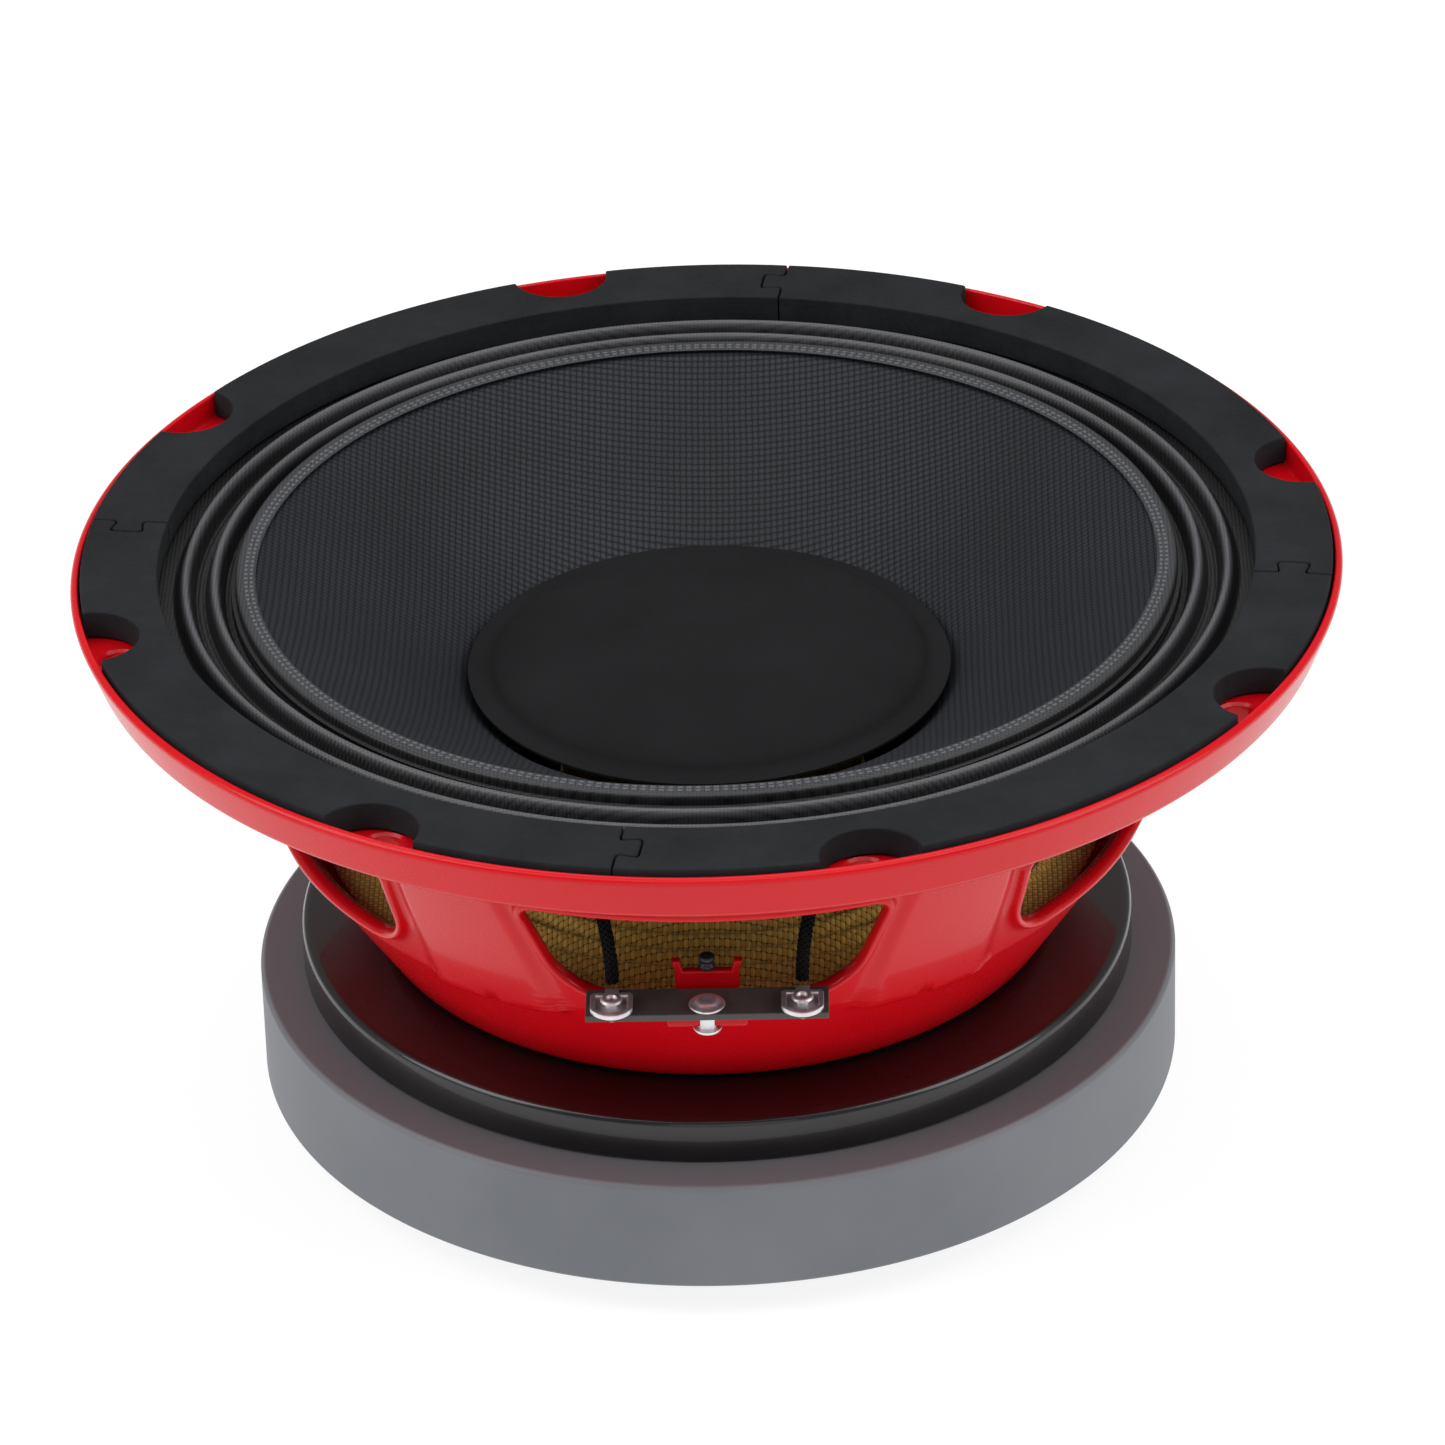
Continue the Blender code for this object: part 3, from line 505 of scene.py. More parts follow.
basket = {
    "baseRadius": 57.8 * mm,
    "baseBore": 36.0 * mm,
    "baseThickness": 2.4 * mm,
    "baseCorner": 1.0 * mm,
    "kneeRadius": 70.0 * mm,
    "kneeHeight": 53.8 * mm,
    "bowlTop": 88.5 * mm,
    "flangeHeight": 92.2 * mm,
    "flangeTop": 96.8 * mm,
    "rimFootInset": 3.0 * mm,
    "lipWall": 1.4 * mm,
    "landingOuter": 95.0 * mm,
    "landingDepth": 0.9 * mm,
    "wall": 1.8 * mm,
    "standOut": 0.9,  # direction square to the sloping wall
    "standDown": 0.43,
    "sillHeight": 59.2 * mm,
    "headHeight": 80.8 * mm,
    "sillHalfAngle": 17.9,
    "headHalfAngle": 21.0,
    "sillCorner": 8.5 * mm,
    "headCorner": 3.5 * mm,
    "windowStep": 1.25 * mm,
    "windows": 6,
    "sheetFoot": 50.8 * mm,
    "flatRadius": 80.0 * mm,
    "panelFoot": 51.2 * mm,
    "panelFootHalfAngle": 10.6,
    "panelHeadHalfAngle": 5.4,
    "panelRise": 1.1 * mm,
    "panelShoulder": 2.6 * mm,
    "panelStep": 0.9 * mm,
    "screwHoles": 8,
    "firstScrew": 15.0,
    "screwCircle": 99.2 * mm,
    "screwHole": 3.15 * mm,
    "shelfInner": 60.9 * mm,
    "shelfTop": 51.6 * mm,
    "shelfThickness": 2.2 * mm,
    "tabHalfWidth": 6.5 * mm,
    "tabThickness": 1.8 * mm,
    "tabReach": 6.4 * mm,
    "upstandHalfWidth": 5.2 * mm,
    "upstandThickness": 1.5 * mm,
    "upstandHeight": 4.2 * mm,
    "earWidth": 1.3 * mm,
    "earHeight": 1.9 * mm,
    "earLean": 0.5 * mm,
}

# how far the sheet stands off the bowl near a window: (distance from its edge, height)
windowLip = [
    (0.12, 1.25), (0.4, 1.5), (0.8, 1.55), (1.15, 1.4), (1.4, 1.05), (1.6, 0.6),
    (1.9, 0.25), (2.4, 0.06), (3.0, 0.0),
]
windowInside = [
    (0.02, 0.2), (0.1, -0.3), (0.4, -0.85), (0.9, -1.25), (1.5, -1.55), (2.3, -1.75), (3.0, -1.8)
]
outerSkin, innerSkin = 1, 2


def bowlRadius(z):
    b, foot = basket, low["basket"].z + basket["baseCorner"]
    knee, top = (b["kneeHeight"], b["kneeRadius"]), (b["flangeHeight"], b["bowlTop"])
    first, second = ((foot, b["baseRadius"]), knee) if z < knee[0] else (knee, top)
    return first[1] + (z - first[0]) / (second[0] - first[0]) * (second[1] - first[1])


def panelHeight(azimuth, z):
    # how far the pressed panel of a spoke stands proud
    b, spoke = basket, 180 / basket["windows"]
    share = (z - b["panelFoot"]) / (high["basket"].z - b["panelFoot"])
    half = b["panelFootHalfAngle"] + share * (b["panelHeadHalfAngle"] - b["panelFootHalfAngle"])
    side = math.radians(half - abs(abs(azimuth) - spoke)) * bowlRadius(z)
    inward = side / b["panelShoulder"], (z - b["panelFoot"]) / b["panelStep"]
    inward = [min(max(share, 0.0), 1.0) for share in inward]
    return b["panelRise"] * math.prod(share * share * (3 - 2 * share) for share in inward)


def windowOutline():
    # corners of a window on the flattened bowl, rounded, with points about a millimetre apart
    flat, b = basket["flatRadius"], basket
    foot, head = (math.radians(b[key]) * flat for key in ("sillHalfAngle", "headHalfAngle"))
    sill, top = b["sillHeight"], b["headHeight"]
    corners = [(-foot, sill), (foot, sill), (head, top), (-head, top)]
    bm = bmesh.new()
    bm.faces.new([bm.verts.new((x, y, 0)) for x, y in corners])
    for height, offset in ((sill, b["sillCorner"]), (top, b["headCorner"])):
        ends = [vert for vert in bm.verts if abs(vert.co.y - height) < 0.01 * mm]
        bevelled(bm, ends, offset, 9, "VERTICES")
    for edge in sorted(bm.edges, key=lambda e: -e.calc_length())[:4]:
        cuts = round(edge.calc_length() / b["windowStep"])
        bmesh.ops.subdivide_edges(bm, edges=[edge], cuts=cuts)
    bm.faces.ensure_lookup_table()
    outline = [vert.co.copy() for vert in bm.faces[0].verts]
    bm.free()
    return outline


def growRing(bm, edges, place):
    # extrudes a closed loop once; place(vert) says where each new point goes
    made = bmesh.ops.extrude_edge_only(bm, edges=edges)["geom"]
    for vert in vertsOf(made):
        vert.co = place(vert)
    return [item for item in made if isinstance(item, bmesh.types.BMEdge)]


def bowlSheet():
    # one sixth of the bowl: outer and inner skin, joined round the window's turned-out lip
    b, flat = basket, basket["flatRadius"]
    outline = windowOutline()
    count = len(outline)
    centre = Vector((0, (b["sillHeight"] + b["headHeight"]) / 2, 0))
    halfWidth = math.pi / b["windows"] * flat
    outward = []
    for index, point in enumerate(outline):
        run = outline[(index + 1) % count] - outline[index - 1]
        side = Vector((run.y, -run.x, 0)).normalized()
        outward.append(side if side.dot(point - centre) > 0 else -side)
    rim = {}
    for x in (-halfWidth, halfWidth):
        for y in (b["sheetFoot"], b["flangeHeight"]):
            towards = Vector((math.copysign(1, x), math.copysign(1, y - centre.y), 0)).normalized()
            rim[max(range(count), key=lambda i: outward[i].dot(towards))] = Vector((x, y, 0))
    turns = sorted(rim)
    for first, second in zip(turns, turns[1:] + [turns[0] + count]):
        for index in range(first + 1, second):
            share = (index - first) / (second - first)
            rim[index % count] = rim[first].lerp(rim[second % count], share)

    def inset(index, depth):
        # point of the sheet's border, moved in by a depth
        middle = (b["sheetFoot"] + b["flangeHeight"]) / 2
        up = (rim[index].y - middle) * (1 - depth / (b["flangeHeight"] - middle))
        return Vector((rim[index].x * (1 - depth / halfWidth), middle + up, 0))

    def lipPoint(index, distance, height):
        point = outline[index] + outward[index] * distance * mm
        return Vector((point.x, point.y, height * mm))

    bm = bmesh.new()
    tag, skinSide = bm.verts.layers.int.new("place"), bm.verts.layers.int.new("skinSide")
    verts = [bm.verts.new(point + Vector((0, 0, 0.75 * mm))) for point in outline]
    for index, vert in enumerate(verts):
        vert[tag] = index
    start = [bm.edges.new((verts[i - 1], verts[i])) for i in range(count)]
    skins = ((outerSkin, windowLip, 0.0, 20), (innerSkin, windowInside, -b["wall"], 9))
    borderDepths = (1.8 * mm, 1.3 * mm, 0.9 * mm, 0.4 * mm, 0.0)
    for side, rings, skin, spread in skins:
        edges, lift = start, Vector((0, 0, skin))
        for vert in verts:
            vert[skinSide] = side
        for distance, height in rings:
            edges = growRing(bm, edges, lambda v: lipPoint(v[tag], distance, height))
        for step in range(1, spread + 1):
            edges = growRing(bm, edges, lambda v: lift + lipPoint(v[tag], rings[-1][0], 0).lerp(
                inset(v[tag], borderDepths[0]), step / spread
            ))
        for depth in borderDepths[1:]:
            edges = growRing(bm, edges, lambda v: inset(v[tag], depth) + lift)
    for vert in bm.verts:
        vert.co = onBowl(vert.co)
    return bm


def onBowl(point):
    # from the flattened sheet, with its third axis as height off the bowl, to the real place
    azimuth = point.x / basket["flatRadius"]
    z = point.y
    height = point.z + panelHeight(math.degrees(azimuth), z)
    lean = basket["standDown"] * min((basket["flangeHeight"] - z) / (2 * mm), 1.0)
    return polar(bowlRadius(z) + basket["standOut"] * height, azimuth, z - lean * height)


def outerOutlines():
    # profiles that close the skins above, as the flange with its lip, and below, as the base
    b = basket
    rim, lipTop = high["basket"].x, high["basket"].z
    lipInner = rim - b["lipWall"]
    ledge = b["flangeTop"] - b["landingDepth"]
    flange = [
        (b["bowlTop"], b["flangeHeight"], 0.0),
        (b["bowlTop"] + 1.4 * mm, b["flangeHeight"], 0.0),
        (rim - b["rimFootInset"], b["flangeHeight"], 1.3 * mm),
        (rim, lipTop - 0.7 * mm, 0.7 * mm),
        (rim - 0.65 * mm, lipTop, 0.5 * mm),
        (lipInner, lipTop, 0.4 * mm),
        (lipInner - 0.15 * mm, b["flangeTop"], 0.8 * mm),
        (b["landingOuter"] + 0.3 * mm, b["flangeTop"], 0.3 * mm),
        (b["landingOuter"], ledge, 0.4 * mm),
        (b["bowlTop"] + 0.2 * mm, ledge, 0.8 * mm),
        (b["bowlTop"] - b["wall"] * b["standOut"], b["flangeHeight"], 0.0),
    ]
    foot, baseZ = b["sheetFoot"], low["basket"].z
    floorZ = baseZ + b["baseThickness"]
    base = [
        (bowlRadius(foot), foot, 0.0),
        (b["baseRadius"] + 0.1 * mm, baseZ + b["baseCorner"], 1.2 * mm),
        (b["baseRadius"] - b["baseCorner"], baseZ, 0.9 * mm),
        (b["baseBore"], baseZ, 0.5 * mm),
        (b["baseBore"], floorZ, 0.5 * mm),
        (bowlRadius(floorZ) - b["wall"] * 1.2, floorZ, 2.0 * mm),
        (bowlRadius(foot) - b["wall"] * b["standOut"], foot, 0.0),
    ]
    return rounded(flange), rounded(base)


def boundaryLoop(bm, z, side):
    # open edges of one skin near a height
    skinSide = bm.verts.layers.int["skinSide"]
    return [
        edge for edge in bm.edges if edge.is_boundary
        and all(abs(vert.co.z - z) < 1.2 * mm and vert[skinSide] == side for vert in edge.verts)
    ]


def closeSkins(bm):
    for outline, z in zip(outerOutlines(), (basket["flangeHeight"], basket["sheetFoot"])):
        edges = boundaryLoop(bm, z, outerSkin)
        inner = boundaryLoop(bm, z, innerSkin)
        for radius, height in outline[1:-1]:
            edges = growRing(
                bm, edges, lambda v: polar(radius, math.atan2(v.co.x, -v.co.y), height)
            )
        bmesh.ops.bridge_loops(bm, edges=edges + inner)


def flangeCutters():
    b = basket
    bm = bmesh.new()
    chamfer, over = 0.45 * mm, 0.6 * mm
    bottom, top, radius = b["flangeHeight"], b["flangeTop"], b["screwHole"]
    wide = radius + chamfer + over
    outline = [
        (0.0, bottom - over), (wide, bottom - over), (radius, bottom + chamfer),
        (radius, top - chamfer), (wide, top + over), (0.0, top + over),
    ]
    for index in range(b["screwHoles"]):
        hole = spun(outline, 40)
        azimuth = math.radians(b["firstScrew"]) + math.tau * index / b["screwHoles"]
        bmesh.ops.translate(hole, verts=hole.verts, vec=polar(b["screwCircle"], azimuth))
        joinInto(bm, hole)
    return bm


def cutAway(bm, cutter):
    # takes the cutter's shapes out of bm
    objects = []
    for name, part in (("body", bm), ("cutter", cutter)):
        mesh = bpy.data.meshes.new(name)
        part.to_mesh(mesh)
        part.free()
        objects.append(bpy.data.objects.new(name, mesh))
        bpy.context.scene.collection.objects.link(objects[-1])
    modifier = objects[0].modifiers.new("cut", "BOOLEAN")
    modifier.operation, modifier.solver, modifier.object = "DIFFERENCE", "EXACT", objects[1]
    graph = bpy.context.evaluated_depsgraph_get()
    result = bmesh.new()
    result.from_mesh(objects[0].evaluated_get(graph).to_mesh())
    for item in objects:
        mesh = item.data
        bpy.data.objects.remove(item)
        bpy.data.meshes.remove(mesh)
    return result


def bracket():
    # tab under the terminal board, and the upstand with its two ears
    b = basket
    wall, sill = bowlRadius(b["sillHeight"]), b["sillHeight"]
    lowCorner = (-b["tabHalfWidth"], -wall - b["tabReach"], sill - b["tabThickness"])
    bm = block(lowCorner, (b["tabHalfWidth"], 0.6 * mm - wall, sill), 0.5 * mm)
    side, ear, lean = b["upstandHalfWidth"], b["earWidth"], b["earLean"]
    bottom, base = sill - 0.9 * mm, sill + b["upstandHeight"]
    top = base + b["earHeight"]
    inner = side - ear
    half = [(side, bottom), (side, base), (side + lean, top), (inner + lean, top), (inner, base)]
    points = half + [(-x, y) for x, y in half[::-1]]
    upstand = slab([(x, y, 0) for x, y in points], b["upstandThickness"], 0.3 * mm)
    upright = Matrix.Translation((0, 2.5 * mm - wall, 0)) @ Matrix.Rotation(math.pi / 2, 4, "X")
    bmesh.ops.transform(upstand, matrix=upright, verts=upstand.verts)
    return joinInto(bm, upstand)


def redEnamel():
    paint = Paint("redEnamel", Coat_Weight=0.22, Coat_Roughness=0.05, Specular_IOR_Level=0.14)
    cloud = paint.noise(16.0, 4.0, 0.6)
    peel = paint.noise(420.0, 2.0, 0.4)
    fine = paint.noise(2400.0, 2.0, 0.5)
    shade = paint.spread(cloud, 0.3, 0.7)
    paint.set(Base_Color=paint.blend(shade, tone(198, 14, 26), tone(208, 20, 30)))
    paint.set(Roughness=paint.spread(cloud + fine * 0.3, 0.4, 0.9, 0.2, 0.34))
    paint.bump(peel + fine * 0.15, 0.02 * mm, 0.5)
    return paint


def buildBasket():
    b = basket
    bm = bowlSheet()
    copies = b["windows"] - 1
    turn = {"cent": (0, 0, 0), "axis": (0, 0, 1), "angle": math.tau * copies / b["windows"]}
    sheet = bm.verts[:] + bm.edges[:] + bm.faces[:]
    bmesh.ops.spin(bm, geom=sheet, steps=copies, use_duplicate=True, **turn)
    bmesh.ops.remove_doubles(bm, verts=bm.verts, dist=0.02 * mm)
    closeSkins(bm)
    bmesh.ops.remove_doubles(bm, verts=bm.verts, dist=0.002 * mm)
    bmesh.ops.recalc_face_normals(bm, faces=bm.faces)
    bm = cutAway(bm, flangeCutters())
    inner, outer = b["shelfInner"], bowlRadius(b["shelfTop"]) - b["wall"]
    top, under = b["shelfTop"], b["shelfTop"] - b["shelfThickness"]
    shelf = [(inner, under, 0.6 * mm), (outer, under, 0)]
    shelf += [(outer + 0.5 * mm, top, 0), (inner, top, 0.6 * mm)]
    joinInto(bm, spun(rounded(shelf), 180))
    joinInto(bm, bracket())
    addPiece("basketShell", bm, redEnamel(), ["basket"], sharp=42)


buildBasket()
print("basket built")


gasket = {
    "inner": 91.0 * mm,
    "segments": 4,
    "firstSeam": -7.5,
    "notchRadius": 8.2 * mm,
    "notchLand": 4.8 * mm,
    "notchSteps": 22,
    "arcStep": 1.6,
    "gap": 0.3 * mm,
    "keyLength": 3.6 * mm,
    "halfNeck": 1.9 * mm,
    "halfHead": 2.7 * mm,
    "keyFillet": 1.1 * mm,
    "edge": 0.35 * mm,
}


def fibreBlack():
    paint = Paint("fibreBlack", Specular_IOR_Level=0.22)
    x, y, z = paint.parts(paint.place())
    cloud = paint.noise(60.0, 5.0, 0.65)
    fluff = paint.noise(1100.0, 3.0, 0.7)
    pits = paint.spread(paint.grains(850.0), 0.05, 0.3)
    layers = paint.noise(1.0, 2.0, 0.5, paint.joined(x * 120, y * 120, z * 3800))
    shade = paint.spread(cloud * 0.6 + fluff * 0.4, 0.35, 0.65)
    paint.set(Base_Color=paint.blend(shade, tone(26, 28, 30), tone(41, 43, 46)))
    paint.set(Roughness=paint.spread(fluff, 0.3, 0.7, 0.72, 0.92))
    paint.bump(fluff * 0.6 + pits * 0.25 + layers * 0.35, 0.09 * mm, 0.7)
    return paint


def seamLine(azimuth, shift, grow):
    # one side of a keyed joint, from the inner edge outwards
    g = gasket
    inner, outer = g["inner"], gasketOuter()
    middle = (inner + outer) / 2
    points = [
        (0.0, inner, 0.0),
        (0.0, middle - g["halfNeck"] - grow, g["keyFillet"]),
        (g["keyLength"], middle - g["halfHead"] - grow, g["keyFillet"]),
        (g["keyLength"], middle + g["halfHead"] + grow, g["keyFillet"]),
        (0.0, middle + g["halfNeck"] + grow, g["keyFillet"]),
        (0.0, outer, 0.0),
    ]
    across, out = polar(1, azimuth + math.pi / 2), polar(1, azimuth)
    return [out * radius + across * (side + shift) for side, radius in rounded(points, 5)]


def gasketOuter():
    return -low["gasket_segment_1"].y


def notchLine(azimuth):
    # arc that a notch cuts into the outer edge, towards growing azimuth
    g, outer = gasket, gasketOuter()
    centre, radius = g["inner"] + g["notchLand"] + g["notchRadius"], g["notchRadius"]
    opening = math.acos((outer**2 + centre**2 - radius**2) / (2 * outer * centre))
    mouth = math.atan2(outer * math.sin(opening), outer * math.cos(opening) - centre)
    points = []
    for step in range(g["notchSteps"] + 1):
        turn = -mouth - (math.tau - 2 * mouth) * step / g["notchSteps"]
        points.append(polar(centre, azimuth) + polar(radius, azimuth + turn))
    return opening, points


def buildGasket():
    g = gasket
    fibre = fibreBlack()
    sweep = math.tau / g["segments"]
    pitch = math.tau / basket["screwHoles"]
    outer = gasketOuter()
    for index in range(g["segments"]):
        name = f"gasket_segment_{index + 1}"
        bottom, top = low[name].z, high[name].z
        start = math.radians(g["firstSeam"]) + sweep * index
        outline = seamLine(start, g["gap"], g["gap"])
        azimuth = start
        firstNotch = math.ceil((start - math.radians(basket["firstScrew"])) / pitch - 1e-6)
        for notch in range(firstNotch, firstNotch + basket["screwHoles"] // g["segments"]):
            centre = math.radians(basket["firstScrew"]) + notch * pitch
            opening, arc = notchLine(centre)
            outline += arcPoints(outer, azimuth, centre - opening)
            outline += arc
            azimuth = centre + opening
        outline += arcPoints(outer, azimuth, start + sweep)
        outline += seamLine(start + sweep, 0.0, 0.0)[::-1]
        outline += arcPoints(g["inner"], start + sweep, start)
        for point in outline:
            point.z = bottom
        segment = slab(outline, top - bottom, g["edge"])
        addPiece(f"gasketSegment{index + 1}", segment, fibre, [name], sharp=50)


def arcPoints(radius, start, end):
    # points strictly between two azimuths
    count = max(int(abs(end - start) / math.radians(gasket["arcStep"])), 1)
    return [polar(radius, start + (end - start) * step / count) for step in range(1, count)]


buildGasket()
print("gasket built")


cone = {
    "steps": 256,
    "wall": 0.8 * mm,
    "neckWall": 1.6 * mm,
    "neckHeight": 3.2 * mm,
    "edgeRadius": 74.8 * mm,
    "capRadius": 40.8 * mm,
    "capDrop": 20.2 * mm,
    "capFlange": 3.5 * mm,
    "capCloth": 0.5 * mm,
    "neckRadius": 25.9 * mm,
    "weavePitch": 1.05 * mm,
}


def coneCloth():
    # woven sheet pressed to shape, so the threads run straight along X and Y
    paint = Paint("coneCloth", Specular_IOR_Level=0.32)
    x, y, _ = paint.parts(paint.place())
    pitch = cone["weavePitch"]
    drift = paint.noise(45.0, 2.0, 0.5)
    height, _ = paint.weave(x / pitch + drift * 0.5, y / pitch + drift * 0.4)
    cloud = paint.noise(26.0, 4.0, 0.6)
    thread = paint.blend(paint.spread(cloud, 0.3, 0.7), tone(31, 34, 40), tone(43, 46, 54))
    # painted shade: the gaps between the threads are painted near-black
    paint.set(Base_Color=paint.blend(paint.spread(height, 0.3, 0.95), tone(11, 12, 14), thread))
    paint.set(Roughness=paint.spread(height, 0.2, 1.0, 0.78, 0.5))
    paint.bump(height + paint.noise(3000.0, 2.0, 0.5) * 0.2, 0.16 * mm, 0.8)
    return paint


def capFelt():
    paint = Paint("capFelt", Specular_IOR_Level=0.2)
    cloud = paint.noise(34.0, 4.0, 0.6)
    fluff = paint.noise(900.0, 3.0, 0.7)
    shade = paint.spread(cloud * 0.5 + fluff * 0.5, 0.35, 0.65)
    paint.set(Base_Color=paint.blend(shade, tone(20, 20, 22), tone(30, 30, 32)))
    paint.set(Roughness=paint.spread(fluff, 0.3, 0.7, 0.75, 0.92))
    paint.bump(fluff + cloud * 0.3, 0.07 * mm, 0.6)
    return paint


def buildCone():
    c = cone
    steps, wall = c["steps"], c["wall"]
    neckZ, edgeZ = low["cone"].z, high["cone"].z
    neck, rim = c["neckRadius"], high["cone"].x
    capZ = edgeZ - c["capDrop"]
    upper = [
        (rim, edgeZ),
        (rim - 1.0 * mm, edgeZ),
        (c["edgeRadius"], edgeZ - 0.05 * mm),
        (c["edgeRadius"] - 1.2 * mm, edgeZ - 0.7 * mm),
        (c["edgeRadius"] - 6.0 * mm, edgeZ - 3.55 * mm),
        (c["capRadius"] + 12 * mm, capZ + 6.9 * mm),
        (c["capRadius"], capZ),
        (neck + 3.4 * mm, neckZ + c["neckHeight"] + 3.2 * mm),
        (neck + 1.3 * mm, neckZ + c["neckHeight"] + 0.6 * mm),
        (neck, neckZ + c["neckHeight"]),
    ]
    line = softened(upper, 3)
    under = sheetOutline(line, wall)[len(line):]
    neckFoot = [Vector((neck + c["neckWall"], neckZ)), Vector((neck, neckZ))]
    outline = line + neckFoot[::-1] + [point for point in under if point.x > neck + c["neckWall"]]
    sheet = spun(outline, steps)
    addPiece("wovenCone", sheet, coneCloth(), ["cone"], "diaphragm", sharp=60)
    edge, top = high["dust_cap"].x, high["dust_cap"].z
    bottom = low["dust_cap"].z + 0.6 * mm
    shoulder = edge - c["capFlange"]
    dome = [(edge, bottom), (edge - 0.8 * mm, bottom + 0.1 * mm)]
    dome += [(shoulder + 0.6 * mm, bottom - 0.05 * mm), (shoulder - 0.3 * mm, bottom + 0.5 * mm)]
    for degrees in range(14, 90, 8):
        turn = math.radians(degrees)
        dome.append((shoulder * math.cos(turn), bottom + (top - bottom) * math.sin(turn)))
    dome.append((0.0, top))
    cap = spun(sheetOutline(softened(dome, 2), c["capCloth"]), 192)
    addPiece("dustCap", cap, capFelt(), ["dust_cap"], "diaphragm", sharp=60)


buildCone()
print("cone built")


coil = {"former": 0.4 * mm, "wire": 0.5 * mm, "winding": 1.1 * mm, "steps": 128}


def kraftPaper():
    paint = Paint("kraftPaper", Specular_IOR_Level=0.3)
    cloud = paint.noise(120.0, 5.0, 0.65)
    fibres = paint.noise(1800.0, 3.0, 0.7)
    shade = cloud * 0.6 + fibres * 0.4
    paint.set(Base_Color=paint.blend(shade, tone(158, 130, 90), tone(190, 164, 122)))
    paint.set(Roughness=paint.spread(fibres, 0.3, 0.7, 0.6, 0.8))
    paint.bump(fibres, 0.04 * mm, 0.6)
    return paint


def enamelledCopper():
    colours = tone(150, 74, 40), tone(196, 112, 66)
    plain = {"Metallic": 1.0, "Coat_Weight": 0.6, "Coat_Roughness": 0.15}
    clouds, grain = (90.0, 4.0, 0.6), (2200.0, 2.0, 0.5)
    return clouded("enamelledCopper", clouds, grain, colours, (0.26, 0.4), 0.02 * mm, **plain)


def buildCoil():
    name = "voice_coil_former"
    outer, bottom, top = high[name].x, low[name].z, high[name].z
    inner, edge = outer - coil["former"], 0.1 * mm
    tube = [(inner, bottom, edge), (outer, bottom, edge), (outer, top, edge), (inner, top, edge)]
    former = spun(rounded(tube, 3), coil["steps"])
    addPiece("coilFormer", former, kraftPaper(), [name], "diaphragm")
    name = "voice_coil"
    outer, bottom, top = high[name].x, low[name].z, high[name].z
    turns = int((top - bottom) / coil["wire"])
    half = (top - bottom) / turns / 2
    outline = []
    for turn in range(turns):
        centre = bottom + half * (2 * turn + 1)
        for degrees in (-70, -35, 0, 35, 70):
            angle = math.radians(degrees)
            outline.append((outer - half + half * math.cos(angle), centre + half * math.sin(angle)))
    outline += [(outer - coil["winding"], top), (outer - coil["winding"], bottom)]
    winding = spun(outline, coil["steps"])
    addPiece("coilWinding", winding, enamelledCopper(), [name], "diaphragm", sharp=80)


buildCoil()
print("voice coil built")


surround = {
    "steps": 256,
    "cloth": 0.6 * mm,
    "landingOuter": 94.7 * mm,
    "flangeInner": 88.7 * mm,
    "setback": 2.2 * mm,
    "pitch": 4.9 * mm,
    "crests": 2,
    "flatHeight": 96.8 * mm,
    "crestHeight": 99.4 * mm,
    "bandOuter": 78.2 * mm,
    "bandInner": 74.8 * mm,
    "stitches": 330,
    "weavePitch": 0.62 * mm,
}

spider = {
    "steps": 224,
    "cloth": 0.55 * mm,
    "landing": 5.4 * mm,
    "pitch": 5.0 * mm,
    "amplitude": 1.1 * mm,
    "waveSteps": 12,
    "inner": 25.9 * mm,
    "collar": 4.5 * mm,
    "weavePitch": 0.86 * mm,
}


stitchRows = [surround["bandInner"] + 0.7 * mm, surround["bandInner"] + 1.6 * mm]
firstCrest = surround["flangeInner"] - surround["setback"]
crestRadii = [firstCrest - surround["pitch"] * turn for turn in range(surround["crests"])]


def dopedCloth():
    paint = Paint("dopedCloth", Specular_IOR_Level=0.5, Coat_Weight=0.12, Coat_Roughness=0.3)
    x, y, _ = paint.parts(paint.place())
    pitch = surround["weavePitch"]
    height, _ = paint.weave(x / pitch, y / pitch)
    cloud = paint.noise(40.0, 4.0, 0.6)
    # painted shade: the hollows of the weave are painted darker than the thread tops, mixed with a
    # random cloudy tone; the glued band uses the same mix
    shade = paint.spread(height * 0.7 + cloud * 0.4, 0.3, 0.9)
    cloth = paint.blend(shade, tone(9, 9, 10), tone(27, 27, 30))
    radius = paint.reach(x, y)

    def rings(middles, outer, inner):
        # 1 within inner of each radius, 0 beyond outer
        return sum(paint.spread((radius - r).maths("ABSOLUTE"), outer, inner) for r in middles)

    # painted highlight: the crests of the pleats are painted lighter, broken up by the weave and
    # the clouds
    paintedCrestHighlight = paint.spread(cloud + height, 0.4, 1.3, 0.35, 1.0)
    paintedCrestHighlight = rings(crestRadii, 0.95 * mm, 0.3 * mm) * paintedCrestHighlight
    cloth = paint.blend(paintedCrestHighlight, cloth, tone(86, 86, 90))
    # the glued band on the cone's edge is paler, with two rows of stitches
    bandEdge = surround["bandOuter"]
    band = paint.spread(radius, bandEdge - 0.2 * mm, bandEdge - 0.6 * mm)
    glued = paint.blend(shade, tone(26, 27, 29), tone(62, 63, 67))
    dashes = (paint.angle(x, y) * surround["stitches"]).maths("SINE")
    stitched = rings(stitchRows, 0.32 * mm, 0.2 * mm) * paint.spread(dashes, -0.4, 0.1)
    glued = paint.blend(stitched * 0.6, glued, tone(108, 109, 114))
    paint.set(Base_Color=paint.blend(band, cloth, glued))
    paint.set(Roughness=paint.spread(height + cloud * 0.5 + band * 0.6, 0.3, 1.9, 0.36, 0.7))
    paint.bump(height + cloud * 0.4 + stitched, 0.07 * mm, 0.7)
    return paint


